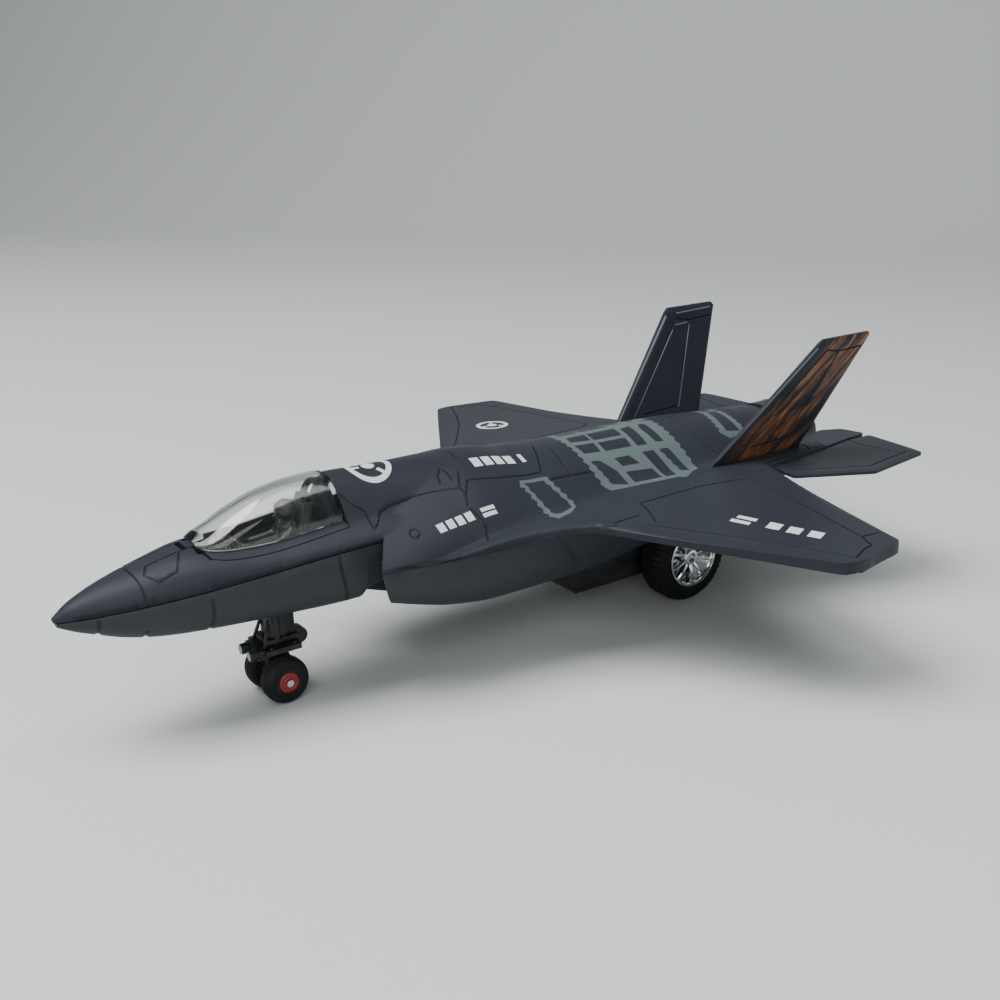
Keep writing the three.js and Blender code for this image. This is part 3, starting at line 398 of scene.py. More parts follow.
# making meshes
def through(pairs):
    # a smooth function through [at, value] pairs that never swings past them
    at, value = (np.array([p[i] for p in pairs], float) for i in (0, 1))
    rise = np.diff(value) / np.diff(at)
    slope = np.concatenate([rise[:1], np.zeros(len(at) - 2), rise[-1:]])
    for i in range(1, len(at) - 1):
        if rise[i - 1] * rise[i] > 0:
            slope[i] = 2 * rise[i - 1] * rise[i] / (rise[i - 1] + rise[i])

    def curve(station):
        s = np.clip(station, at[0], at[-1])
        i = np.clip(np.searchsorted(at, s, side="right") - 1, 0, len(at) - 2)
        span = at[i + 1] - at[i]
        t = (s - at[i]) / span
        a = 2 * t**3 - 3 * t**2 + 1
        return (a * value[i] + (t**3 - 2 * t**2 + t) * span * slope[i] + (1 - a) * value[i + 1]
                + (t**3 - t**2) * span * slope[i + 1])
    return curve


def addPiece(name, points, faces, body, slotName, nodes=(), looks=("paint",), faceLook=None, sharp=35,
             groove=None, weld=0.0005):
    # points are in millimetres; faceLook gives each face's place in looks
    mesh = bpy.data.meshes.new(name)
    mesh.from_pydata((np.asarray(points, float) * millimetre).tolist(), [], faces)
    for look in looks:
        mesh.materials.append(materials[look])
    if faceLook is not None:
        mesh.polygons.foreach_set("material_index", np.asarray(faceLook, dtype=np.int32))
    if groove is not None:
        mesh.attributes.new("groove", "FLOAT", "POINT").data.foreach_set("value", np.asarray(groove,
                np.float32))
    work = bmesh.new()
    work.from_mesh(mesh)
    bmesh.ops.remove_doubles(work, verts=work.verts, dist=weld * millimetre)
    bmesh.ops.dissolve_degenerate(work, edges=work.edges, dist=weld * millimetre)
    bmesh.ops.recalc_face_normals(work, faces=work.faces)
    work.to_mesh(mesh)
    work.free()
    mesh.shade_smooth()
    mesh.set_sharp_from_angle(angle=math.radians(sharp))
    piece = newObject(name, mesh)
    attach(piece, body)
    if nodes:
        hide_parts(*nodes)


def segmentsOf(lines):
    return np.array([[*a, *b] for line in lines for a, b in zip(line, line[1:])], float)


def distanceTo(points, segments):
    # least distance from each 2-D point to a set of line pieces
    best = np.full(len(points), 1e9)
    for x0, y0, x1, y1 in segments:
        run = np.array([x1 - x0, y1 - y0])
        t = np.clip(((points - (x0, y0)) @ run) / max(run @ run, 1e-12), 0, 1)
        gap = points - (x0, y0) - t[:, None] * run
        best = np.minimum(best, np.hypot(gap[:, 0], gap[:, 1]))
    return best


def within(points, loop):
    inside = np.zeros(len(points), bool)
    x, y = points[:, 0], points[:, 1]
    for (x0, y0), (x1, y1) in zip(loop, np.roll(loop, -1, axis=0)):
        crosses = (y0 > y) != (y1 > y)
        at = x0 + (x1 - x0) * (y - y0) / (y1 - y0 if y1 != y0 else 1e-12)
        inside ^= crosses & (x < at)
    return inside


def resample(line, step, closed=False):
    # points along a polyline at an even pace, keeping its corners
    corners = [*line, line[0]] if closed else list(line)
    made = []
    for a, b in zip(corners, corners[1:]):
        a, b = np.array(a, float), np.array(b, float)
        count = max(1, int(np.ceil(np.hypot(*(b - a)) / step)))
        made += [a + (b - a) * i / count for i in range(count)]
    return np.array(made if closed else [*made, corners[-1]])


grooveCut = {"half": 0.13, "slope": 0.15, "depth": 0.26, "clear": 0.12}


def sheetSkin(outline, holes, lines, prints, pace, upper, lower, lift, shoulder=(0.05, 0.16, 0.36, 0.75),
              twoSided=False, guides=()):
    # A closed skin over a flat outline: a fine upper surface with engraved lines and printed areas, and
    # a plain or matching lower one. Prints are (look, outer loop, cells, side), side 1 for the upper
    # surface and -1 for the lower; lift turns (u, v, w) into a place in space.
    loops = [resample(loop, pace, True) for loop in [outline, *holes]]
    printLoops = [resample(loop, 0.8, True) for _, outer, cells, _ in prints for loop in [outer, *cells]]
    edge = segmentsOf([[*loop, loop[0]] for loop in loops])
    cut = segmentsOf(lines) if lines else np.zeros((0, 4))
    low, high = loops[0].min(0), loops[0].max(0)
    grid = np.stack(np.meshgrid(np.arange(low[0], high[0], pace), np.arange(low[1], high[1], pace)), -1)
    grid[1::2, :, 0] += pace / 2
    rows = [grid.reshape(-1, 2)]
    for loop in loops:  # rows of points that follow each edge a little way in
        ahead = np.roll(loop, -1, axis=0) - np.roll(loop, 1, axis=0)
        side = np.stack([-ahead[:, 1], ahead[:, 0]], -1) / np.maximum(np.hypot(*ahead.T), 1e-9)[:, None]
        rows += [loop + side * way * inset for inset in shoulder for way in (1, -1)]
    for line in guides:  # and rows beside each place where the surface turns steeply
        path = resample(line, pace * 0.6)
        rows += [path + (off, 0) for off in (-1.2, -0.75, -0.4, -0.2, -0.08, 0, 0.08, 0.2, 0.4, 0.75,
                                             1.2)]
    free = np.concatenate(rows)
    free = free[within(free, loops[0])]
    for hole in loops[1:]:
        free = free[~within(free, hole)]
    far = distanceTo(free, edge)
    keep = far > min(shoulder) * 0.7
    if len(cut):
        keep &= distanceTo(free, cut) > grooveCut["half"] + grooveCut["slope"] + grooveCut["clear"]
    free = free[keep]
    ditch = []
    for line in lines:
        path = resample(line, 0.45)
        ahead = np.gradient(path, axis=0)
        side = np.stack([-ahead[:, 1], ahead[:, 0]], -1) / np.maximum(np.hypot(*ahead.T), 1e-9)[:, None]
        outer = grooveCut["half"] + grooveCut["slope"]
        ditch += [path + side * off for off in (-outer, -grooveCut["half"], grooveCut["half"], outer)]
    if ditch:
        ditch = np.concatenate(ditch)
        inside = within(ditch, loops[0])
        for hole in loops[1:]:
            inside &= ~within(ditch, hole)
        ditch = ditch[inside & (distanceTo(ditch, edge) > 0.04)]
        free = np.concatenate([free, ditch])

    def triangles(extra, constraints):
        verts = [p for loop in constraints for p in loop]
        links, start = [], 0
        for loop in constraints:
            links += [(start + i, start + (i + 1) % len(loop)) for i in range(len(loop))]
            start += len(loop)
        every = [Vector(p) for p in verts] + [Vector(p) for p in extra]
        points, _, faces, *_ = delaunay_2d_cdt(every, links, [], 0, 1e-5)
        points = np.array([tuple(p) for p in points])
        faces = np.array([tuple(f) for f in faces if len(f) == 3])
        middle = points[faces].mean(1)
        keep = within(middle, loops[0])
        for hole in loops[1:]:
            keep &= ~within(middle, hole)
        return points, faces[keep], middle[keep]

    points, faces, middle = triangles(free, loops + printLoops)
    coarse = free[::9] if len(free) > 4000 else free
    under, underFaces, _ = (points, faces, middle) if twoSided else triangles(coarse, loops)
    engraved = np.zeros(len(points))
    if len(cut):
        away = distanceTo(points, cut)
        engraved = 1 - np.clip((away - grooveCut["half"]) / grooveCut["slope"], 0, 1)
        engraved *= np.clip(distanceTo(points, edge) / 0.3, 0, 1)
    top = upper(points[:, 0], points[:, 1]) - engraved * grooveCut["depth"]
    bottom = lower(under[:, 0], under[:, 1]) + (engraved * grooveCut["depth"] if twoSided else 0)
    whole = np.concatenate([np.column_stack([points, top]), np.column_stack([under, bottom])])
    match = {tuple(np.round(p, 3)): i for i, p in enumerate(under)}
    edges = {}
    for a, b, c in faces:
        for e in ((a, b), (b, c), (c, a)):
            edges[e] = True
    walls = []
    for a, b in edges:
        if (b, a) not in edges:
            c, d = (match.get(tuple(np.round(points[i], 3))) for i in (a, b))
            if c is not None and d is not None:
                walls.append((int(a), int(b), int(d) + len(points), int(c) + len(points)))
    look, underLook = np.zeros(len(faces), int), np.zeros(len(underFaces), int)
    for index, (_, outer, cells, side) in enumerate(prints):
        inked = within(middle, np.array(outer, float))
        for cell in cells:
            inked &= ~within(middle, np.array(cell, float))
        if side > 0:
            look[inked] = index + 1
        elif twoSided:
            underLook[inked] = index + 1
    allFaces = [tuple(map(int, f)) for f in faces] + [tuple(int(i) + len(points) for i in f[::-1])
                                                      for f in underFaces] + walls
    looks = np.concatenate([look, underLook, np.zeros(len(walls), int)])
    groove = np.concatenate([engraved, engraved if twoSided else np.zeros(len(under))])
    return lift(whole), allFaces, looks, groove


# the skin's shape, the same as the frame's
chineHalf = through([(0, 1), (4, 3.4), (11, 6.5), (21, 9.8), (31, 12.2), (42, 14), (53, 15.5), (63, 16.6),
                     (72, 17.4), (104, 20)])
chineHeight = through([(0, 33.6), (21, 35.7), (42, 37.8), (60, 39.6), (75, 40.5), (104, 41)])
shoulderRise = through([(0, 0.9), (4, 3.2), (11, 5.2), (21, 6.8), (31, 7.8), (42, 6.6), (53, 5.5),
                        (72, 5.6),
                        (104, 8)])
keelDrop = through([(0, 1), (4, 3.4), (8, 5.3), (14, 8), (22, 10.4), (31, 12.1), (42, 13.8), (51, 15.1),
                    (62, 16.5), (69.6, 17), (70.8, 15.2), (84, 13)])
spineRise = through([(66, 9), (70, 8.7), (76, 8), (89, 6.4), (104, 4.4)])
spineHalf = through([(66, 11.4), (80, 12.5), (104, 15)])
coreHalf = through([(66, 26), (80, 26.4), (92, 26.8), (110, 27.3), (125, 27), (145, 25), (175, 22),
                    (200, 17.5),
                    (226, 13.5)])
coreRise = through([(66, 6.6), (70, 8), (80, 12.6), (92, 16.8), (100, 18), (110, 16.8), (120, 14.2),
                    (140, 12.7), (175, 12.3), (200, 10.6), (226, 9)])
coreSquare = through([(66, 1.4), (105, 1.5), (140, 2), (226, 2)])
coreFull = through([(66, 0.71), (100, 0.72), (125, 1), (145, 1.4), (180, 1.2), (210, 0.8), (226, 0.62)])
seamHeight = through([(66, 36.2), (80, 35.6), (92, 35.4), (110, 36.4), (125, 37.3), (150, 37.3),
                      (190, 37),
                      (232, 36.8)])
bellyHalf = through([(66, 25.4), (92, 27.2), (110, 27.8), (140, 26.6), (175, 24), (200, 22.6), (230, 20)])
bellyHeight = through([(66, 25), (75, 22), (85, 18.6), (93, 16.4), (105, 14.8), (128, 14.6), (160, 17.4),
                       (190, 22.8), (215, 27.2), (230, 29.5)])
deckLift = through([(74, 0), (84, 0.2), (100, 0.7), (118, 1)])
deckEdge = [(24.6, 74), (27.3, 80), (28.6, 92), (30.6, 107), (33.2, 116.5), (36.5, 123.5), (88.5, 154.3),
            (89.3, 160), (86.8, 176.2), (30, 191), (28.4, 193), (27.6, 198), (26.6, 210), (23.4, 231)]
wingFront = [(24, 114), (36.5, 123.5), (60, 137.4), (86.8, 153.3), (88.6, 154.6), (89.3, 158.6)]
wingBack = [(24, 194), (36.5, 189.9), (60, 183.5), (86.8, 176.2), (88.6, 165.5), (89.3, 160.6)]
intake = {"station": 68.3, "half": 26, "height": 36.2, "upperSweep": 0.65, "lowerSweep": 0.5, "drop": 0.2}
seamGap = 0.3
nozzle = {"station": 219, "height": 36.4, "radius": 10.6, "length": 15, "seat": 11.3}


def along(pairs, value, given, wanted):
    order = sorted(pairs, key=lambda p: p[given])
    return np.interp(value, [p[given] for p in order], [p[wanted] for p in order])


def deckHalf(station):
    return along(deckEdge, station, 1, 0)


def wingMiddle(x):
    return 37.3 - 0.044 * np.maximum(0, np.abs(x) - 30)


def wingDepth(x):
    return np.interp(np.minimum(np.abs(x), 89), [30, 89], [2.3, 1.0])


def swell(x, half, square, full):
    return np.maximum(0, 1 - np.abs(x / half) ** square) ** full


def blendMax(a, b, soft):
    return (a + b + np.hypot(a - b, soft)) / 2


def forwardTop(x, s):
    return chineHeight(s) + shoulderRise(s) * swell(x, chineHalf(s), 2, 0.5)


def spineTop(x, s):
    return forwardTop(x, s) + np.where(s < 65.9, 0, spineRise(s)) * swell(x, spineHalf(s), 2, 1.3)


def coreTop(x, s):
    return seamHeight(s) + coreRise(s) * swell(x, coreHalf(s), coreSquare(s), coreFull(s))


def deckTop(x, s):
    rise = wingMiddle(x) - seamHeight(s) + wingDepth(x) * swell(x, deckHalf(s), 12, 0.4)
    return seamHeight(s) + deckLift(s) * rise


def bodyTop(x, s):
    return blendMax(coreTop(x, s), deckTop(x, s), 1.2 * deckLift(s))


def wingShare(x, s):
    front = along(wingFront, np.abs(x), 0, 1)
    back = along(wingBack, np.abs(x), 0, 1)
    return np.clip((s - front) / np.maximum(back - front, 0.5), 0, 1)


def wingSwell(x, s):
    return wingDepth(x) * np.maximum(0.25, np.sin(math.pi * wingShare(x, s)) ** 0.45)


def aheadOfIntake(x, s):
    return s < intake["station"] + intake["upperSweep"] * (intake["half"] - np.abs(x))


deck = {"forwardEnd": 104, "wingHalf": 24, "wingStart": 114.5, "wingBlend": 0.7, "wingLevel": 37.3,
        "boomStart": 206, "boomHalf": 12.3, "boomTop": 38.5, "tailStart": 220, "edgeHalf": 31}


def seamEdge(x, s):
    return np.where(aheadOfIntake(x, s), chineHeight(s), np.minimum(seamHeight(s), deck["wingLevel"]))


def upperTop(x, s):
    # the whole upper shell as one height above its plan
    forward = spineTop(x, s)
    middle = np.maximum(np.where(np.abs(x) < chineHalf(s), forward, 0), bodyTop(x, s))
    onWing = (np.abs(x) > deck["wingHalf"]) & (s > deck["wingStart"])
    wing = np.where(onWing, wingMiddle(x) + wingSwell(x, s), 0)
    rearward = np.where(s < deck["forwardEnd"], np.maximum(middle, wing),
                        blendMax(bodyTop(x, s), wing, deck["wingBlend"]))
    top = np.where(aheadOfIntake(x, s), forward, rearward)
    boom = np.where((s > deck["boomStart"]) & (np.abs(x) > deck["boomHalf"]), deck["boomTop"], 0)
    top = np.where(s > deck["tailStart"], boom, np.maximum(top, boom))
    return np.maximum(top, np.where(np.abs(x) > deck["edgeHalf"], 0, seamEdge(x, s) + 0.12))


def ductRoof(x, s):
    # the intake's ceiling, cut up into the shell
    share = np.interp(s, [76, 92], [1, 0.8])
    across = np.interp(np.abs(x), 19.5 + (np.array([18.2, 18.6, 23.8, 24.0]) - 19.5), [26, 39, 36.8, 26])
    return np.where((np.abs(x) > 18.3) & (np.abs(x) < 24) & (s < 91.5), 31.5 + (across - 31.5) * share, 0)


def upperUnder(x, s):
    flat = np.where(aheadOfIntake(x, s), chineHeight(s), seamHeight(s))
    wing = wingMiddle(x) - 0.55 * wingSwell(x, s)
    outboard = np.clip((np.abs(x) - 24.3) / 0.8, 0, 1) * ((s > 115) & (s < 193.6))
    under = flat * (1 - outboard) + wing * outboard
    return np.where(s > 212, 36.9, np.maximum(under, ductRoof(x, s)))


# upper shell: one fine skin with engraved panel lines and printed marks
def mirrored(lines):
    return [*lines, *[[(-x, s) for x, s in line] for line in lines]]


canopyHalf = through([(31, 2.3), (33, 2.3), (34.6, 8.4), (40, 10.4), (48, 11.6), (60, 12.2),
                      (67.6, 12.2)])


def bothSides(half):
    # a closed outline from its right half
    return [*half, *[(-x, s) for x, s in reversed(half)]]


def upperOutline():
    nose = [(float(chineHalf(s)), s) for s in np.concatenate([np.arange(0, 12, 0.4), np.arange(12, 73.7,
            0.8)])]
    inner = (17.45, intake["station"] + intake["upperSweep"] * (intake["half"] - 17.45))
    side = [(float(max(coreHalf(s) + 0.4, deckHalf(s))), s) for s in np.arange(68.1, 114, 1.5)]
    wing = [(33.2, 116.5), (36.5, 123.5), (60, 137.4), (86.4, 153.0), (87.6, 153.8), (88.6, 154.9),
            (89.2, 157),
            (89.3, 159.6), (88.9, 163), (87.4, 173.4), (86.9, 175.2), (85.6, 176.6), (60, 183.5),
            (36.5, 189.9),
            (30, 191), (28.8, 192), (28.2, 194), (27.6, 198), (26.6, 210), (26.4, 212), (23.4, 231)]
    tail = [(23.2, 236.5), (22.9, 238.4), (22.2, 239.2), (16.4, 237.9), (15.2, 237.4), (12.6, 232.4),
            (12.4, 231.4), (12.4, 220), (nozzle["seat"], 219.9), (nozzle["seat"], 214.2)]
    return bothSides([*nose, inner, *side, *wing, *tail])


def canopyHole(grow):
    stations = [31 - grow, 31.6, 32.2, 33, 33.2, 33.6, 34, 34.3, 34.6, *np.arange(35.6, 67.4, 1.2),
                67.6 + grow]
    side = [(float(canopyHalf(s)) + grow, float(s)) for s in stations]
    return bothSides(side)


def shellHole():
    # the canopy's opening, with the relief at the hinge that lets its front end swing down
    side = [(2.75, 29.7), (2.75, 32.2), (5.9, 32.2), (6.4, 33.2), (8.9, 34.1)]
    side += [(x, s) for x, s in canopyHole(0.3) if x > 8 and s > 34.5]
    return bothSides(side)


def saw(start, end, teeth, height):
    # a stair-stepped edge between two points
    start, end = np.array(start, float), np.array(end, float)
    run = (end - start) / teeth
    side = np.array([-run[1], run[0]]) / np.hypot(*run) * height
    made = []
    for i in range(teeth):
        a = start + run * i
        made += [tuple(a), tuple(a + run * 0.35 + side), tuple(a + run * 0.8 + side * 0.25)]
    return made


def box2(x0, s0, x1, s1, skew=0.0):
    return [(x0, s0), (x1, s0 + skew), (x1, s1 + skew), (x0, s1)]


def ringLoop(x, s, radius, count=28):
    return [(x + radius * math.cos(tau * i / count),
             s + radius * math.sin(tau * i / count)) for i in range(count)]


def turned(loop, x, s, degrees):
    c, d = math.cos(math.radians(degrees)), math.sin(math.radians(degrees))
    return [(x + px * c - ps * d, s + px * d + ps * c) for px, ps in loop]


shellLines = mirrored([
    [(6.8, 68.7), (9, 70.8), (10.4, 73.2), (15.4, 72.6)],  # behind the canopy, down to the intake
    [(15.4, 72.6), (14.2, 74.4), (11.4, 76.5), (10.9, 79.5), (11, 85.5), (12.2, 90.5), (13.2, 94),
     (14.3, 97.7)],
    [(10, 100.1), (14.3, 97.7), (16.5, 98.2), (19, 96.8), (23.7, 99), (26.6, 97.6)],
    [(13, 100.8), (13.6, 105), (14.2, 110), (14.1, 117), (14, 123)],
    [(16.5, 98.2), (13, 100.8)],
    [(3, 128.2), (7, 126.6), (14, 123)],
    [(14, 123), (16.6, 124.2), (16.1, 131.4), (15.5, 138)],
    [(16.1, 131.4), (12.5, 131.2), (6, 132.4)],
    [(7.2, 96.4), (8.8, 94.8), (10.6, 94.2)],
    [(7.2, 96.4), (8, 97.2), (11.4, 97.2)],
    [(2, 102.4), (4.4, 102.6), (6, 103.2)],
    [(36.6, 123.2), (40.1, 127.2)],
    [(38.7, 127.6), (38.7, 135.4)],
    [(43.7, 132.7), (48.7, 136.6), (64.4, 147.7), (75, 153.6), (87.6, 159.2)],
    [(43.7, 136.3), (37.3, 139.5), (32.8, 140.6), (32.6, 152), (32.4, 162), (34, 174), (35.6, 177.2)],
    [(35.6, 177.2), (50.1, 176.4), (60.9, 174.8), (79.4, 170.8), (81.6, 169.6)],
    [(79.4, 170.8), (80, 176.2)],
    [(87.6, 159.2), (85.1, 164.9), (84.4, 168.4), (81.6, 169.6)],
    [(27.2, 193.8), (26.4, 199), (26.8, 205)],
    [(8, 22), (8, 26.5), (2.6, 29.2), (2.4, 21.2), (5.2, 19.8), (8, 22)],
    [(9.4, 20), (9.3, 18.6), (1.6, 17.4)],
    [(20.2, 213.2), (25.6, 212)],
    [*ringLoop(20, 81, 1.15, 20), (21.15, 81)],
]) + [[(x, 178.6 + 0.02 * x * x) for x in np.linspace(-16.5, 16.5, 24)],
      [(x, 202.6 + 0.014 * x * x) for x in np.linspace(-12, 12, 18)],
      [(-1.6, 17.4), (1.6, 17.4)], [(-14, 112), (-5, 110.6), (-3, 104.6)]]


def netPrint(side):
    # a jagged-edged net across the rear fuselage, one half of it
    outer = [*saw((0.05, 138.4), (20.6, 139.6), 9, -0.9), (21.4, 140.4), (21.6, 150), (22.5, 163.6),
             (24.4, 164.6),
             (21.3, 169.4), (20.4, 172.6), *saw((17.6, 172.4), (0.05, 171.2), 8, -0.9), (0.05, 168)]
    cells = [[(1.4, 140.8), (4.2, 140.4), (4.9, 146.4), (1.4, 146.8)], [(6.2, 140.2), (9.6, 140.9),
            (9.8, 146),
             (6.4, 146.2)], *[[*saw((12.6, 141), (19.6, 142.8), 4, -0.5), (20.2, 147.2), (16.2, 146.4),
             (12.9, 143.6)]], [(1.4, 148), (5.2, 147.8), (5.4, 156.9), (1.4, 157.3)],
             [(6.7, 147.9), (10, 148), (10.1, 156.6), (6.9, 156.9)], [(12.8, 148.8), (15.2, 149.6),
                                                                      (15.3, 155.2),
             (12.8, 153.6)], [(17, 149.6), (20.2, 150), (20.4, 159), (17.4, 158)],
             [(2.6, 159), (10.2, 158.9),
             (10.3, 162.2), (2, 162.6)], [(12.8, 158.8), (20.4, 160.6), (20.6, 164), (12.9, 162.6)],
             [(2, 166.2), (4.4, 165), (10, 165.6), (10.3, 168.2), (2.4, 168)],
             [*saw((12.9, 165), (19.8, 167.4), 4, -0.4), (20, 169.6), (13, 167.9)]]
    return "print", [(x * side, s) for x, s in outer], [[(x * side, s) for x, s in c] for c in cells], 1


def bandPrint(side):
    outer = [*saw((0.05, 192.4), (11.4, 190.6), 6, -0.8), (12.6, 192.4), *saw((11.4, 200), (0.05, 199), 6,
            -0.7)]
    cells = [[(1, 194.2), (10, 193.2), (10.4, 198), (1, 197.4)]]
    return "print", [(x * side, s) for x, s in outer], [[(x * side, s) for x, s in c] for c in cells], 1


def framePrint(side):
    outer = [(15.6, 115), (17.6, 113.8), *saw((17.8, 115.2), (27.6, 117.4), 5, -0.8), (28.8, 117.6),
             (27.4, 122.6),
             (25, 126), *saw((24, 126), (16.6, 123.2), 4, -0.8), (15.5, 124)]
    cell = [(16.8, 116), *saw((18, 116.6), (26, 118.9), 4, -0.5), (26.2, 120), (24.8, 124.4),
            *saw((23.6, 124.4), (17.4, 121.6), 3, -0.5), (16.8, 121.8)]
    return "print", [(x * side, s) for x, s in outer], [[(x * side, s) for x, s in cell]], 1


roundels = [{"at": (0.4, 79.6), "radii": (6.0, 4.6, 1.7), "corners": (40, 36, 24), "bar": (2.6, 4.75,
        0.55)},
            {"at": (-57.3, 155.7), "radii": (5.2, 3.9, 1.6), "corners": (32, 28, 18),
             "bar": (2.2, 4.1, 0.5)}]


def plainMarks():
    # generic marks only: rings and bars, no letters
    marks = []
    for mark in roundels:
        outer, inner, dot = (ringLoop(*mark["at"], *size) for size in zip(mark["radii"], mark["corners"]))
        marks += [(outer, [inner]), (dot, [])]
    for turnBy in (35, 155, 275):
        for mark in roundels:
            near, far, half = mark["bar"]
            marks.append((turned(box2(near, -half, far, half), *mark["at"], turnBy), []))
    for s, tall in ((107, 2.6), (110.4, 2.6), (113.8, 2.6), (117.2, 2.6), (121.2, 1.2)):
        marks.append((box2(6.2, s - tall / 2, 9.6, s + tall / 2, -0.2), []))
    for s in (87.7, 90.4, 93.1, 95.8):
        marks.append((box2(20.2, s - 1, 22.2, s + 1, 0.3), []))
    for x in (20.9, 22.1):
        marks.append((box2(x - 0.42, 99.4, x + 0.42, 103.4, 0.1), []))
    for x, s, wide in ((55.8, 153.6, 5), (55.2, 156.6, 5), (62.6, 158.6, 3.4), (67.4, 160.6, 3.4),
                       (72.2, 162.8, 3.4)):
        tall = 1.9 if wide == 5 else 4.2
        marks.append((turned(box2(-wide / 2, -tall / 2, wide / 2, tall / 2), x, s, 25), []))
    return [("white", outer, cells, 1) for outer, cells in marks]


def opened(mark, grow):
    # the same print with every cell a little wider, so that its strokes are thinner
    look, outer, cells, side = mark
    wider = []
    for cell in cells:
        middle = np.mean(cell, axis=0)
        wider.append([tuple(middle + (np.array(corner) - middle) * grow) for corner in cell])
    return look, outer, wider, side


shellPrints = [*[opened(make(side), 1.07) for make in (netPrint, bandPrint, framePrint) for side in (1,
        -1)],
               *plainMarks()]


def inPlan(points):
    return np.column_stack([points[:, 0], place(points[:, 1]), points[:, 2]])


# rows of points follow the places where the surface turns down; a band along the seam below gets painted
# shade
turns = mirrored([[(float(coreHalf(s)), float(s)) for s in np.arange(69, 132, 1.5)],
                  [(float(spineHalf(s)), float(s)) for s in np.arange(66, 80, 1.5)]])
seamShade = {"tall": 0.7, "start": 4, "end": 192}
points, faces, looks, groove = sheetSkin(upperOutline(), [shellHole()], shellLines, shellPrints, 0.85,
                                         upperTop, upperUnder, inPlan, guides=turns)
stations = points[:, 1] - place(0)
# painted shade: points near the shell's lower edge join the groove darkening
above = np.abs(points[:, 2] - seamEdge(points[:, 0], stations))
rim = (above < seamShade["tall"]) & (np.abs(points[:, 0]) < deck["edgeHalf"])
groove = np.maximum(groove, rim & (stations < seamShade["end"]) & (stations > seamShade["start"]))
addPiece("upper_skin", points, faces, "airframe", "shell_paint", ["upper_shell"],
         ["paint", *[mark[0] for mark in shellPrints]], looks, groove=groove, sharp=38)
print("upper shell made", len(faces))


# belly: two lofted bodies joined, with ducts, wheel wells and seat for the nozzle cut in
def shape(name, points, faces):
    # a bare mesh object used to build others
    mesh = bpy.data.meshes.new(name)
    mesh.from_pydata((np.asarray(points, float) * millimetre).tolist(), [], faces)
    work = bmesh.new()
    work.from_mesh(mesh)
    bmesh.ops.recalc_face_normals(work, faces=work.faces)
    work.to_mesh(mesh)
    work.free()
    return newObject(name, mesh)


def bake(thing):
    # puts an object's modifiers into its mesh
    bpy.context.view_layer.update()
    ready = bpy.data.meshes.new_from_object(thing.evaluated_get(bpy.context.evaluated_depsgraph_get()))
    thing.modifiers.clear()
    thing.data = ready


def takeApart(thing):
    # the points and faces of an object, which is then removed
    points = np.array([tuple(v.co) for v in thing.data.vertices]) / millimetre
    faces = [tuple(p.vertices) for p in thing.data.polygons]
    bpy.data.objects.remove(thing)
    return points, faces


def combine(base, tools, operation):
    # joins or cuts with exact booleans and returns the plain result
    for tool in tools:
        step = base.modifiers.new("step", "BOOLEAN")
        step.operation = operation
        step.solver = "EXACT"
        step.object = tool
    bake(base)
    for tool in tools:
        bpy.data.objects.remove(tool)


def gridFaces(rows, count, joined=False):
    # quads between rings of points; joined ties the last ring to the first
    return [(r * count + j, r * count + (j + 1) % count, (r + 1) % rows * count + (j + 1) % count,
             (r + 1) % rows * count + j) for r in range(rows if joined else rows - 1) for j in range(count)]


def prism(corners, low, high, axis):
    # a straight prism: corners are two coordinates in the plane across the axis, in the order X, Y, Z
    others = [i for i in range(3) if i != axis]
    points = []
    for level in (low, high):
        for a, b in corners:
            point = [0.0, 0.0, 0.0]
            point[axis], point[others[0]], point[others[1]] = level, a, b
            points.append(point)
    n = len(corners)
    faces = [tuple(range(n)), tuple(range(2 * n - 1, n - 1, -1))]
    return points, [*faces, *gridFaces(2, n)]


def lathe(profile, segments, axis, centre, wave=None):
    # turns [along, radius] pairs about a line through centre; wave(angle, index) scales each radius
    points = []
    for i in range(segments):
        angle = tau * i / segments
        for index, (far, radius) in enumerate(profile):
            r = radius * (wave(angle, index) if wave else 1)
            spot = [r * math.cos(angle), r * math.sin(angle)]
            spot.insert(axis, far)
            points.append([spot[k] + centre[k] for k in range(3)])
    return points, gridFaces(segments, len(profile), True)


def sectionBody(stations, half, edge, bottom, power, engrave, columns=72):
    # rows of a flat-topped round-bottomed section, closed at both ends
    angles = np.linspace(0, math.pi, columns + 1)
    c, d = np.cos(angles), np.sin(angles)
    points, grooves = [], []
    for s in stations:
        x = half(s) * np.sign(c) * np.abs(c) ** (2 / power)
        z = edge(s) - (edge(s) - bottom(s)) * d ** (2 / power)
        depth = engrave(x, np.full_like(x, s), z, np.abs(x) / half(s))
        middle = (edge(s) + bottom(s)) / 2
        reach = np.maximum(np.hypot(x, z - middle), 0.5)
        away = depth * (z < edge(s) - 0.05)
        points += list(np.column_stack([x - x / reach * away, np.full_like(x, place(s)),
                                        z - (z - middle) / reach * away]))
        grooves += list(np.clip(depth / grooveCut["depth"], 0, 1))
    n = columns + 1
    faces = [(r * n + j, r * n + j + 1, (r + 1) * n + j + 1,
              (r + 1) * n + j) for r in range(len(stations) - 1)
             for j in range(n - 1)]
    faces += [(r * n + n - 1, r * n, (r + 1) * n, (r + 1) * n + n - 1) for r in range(len(stations) - 1)]
    last = (len(stations) - 1) * n
    return points, [*faces, tuple(range(n)), tuple(last + j for j in range(n))], grooves


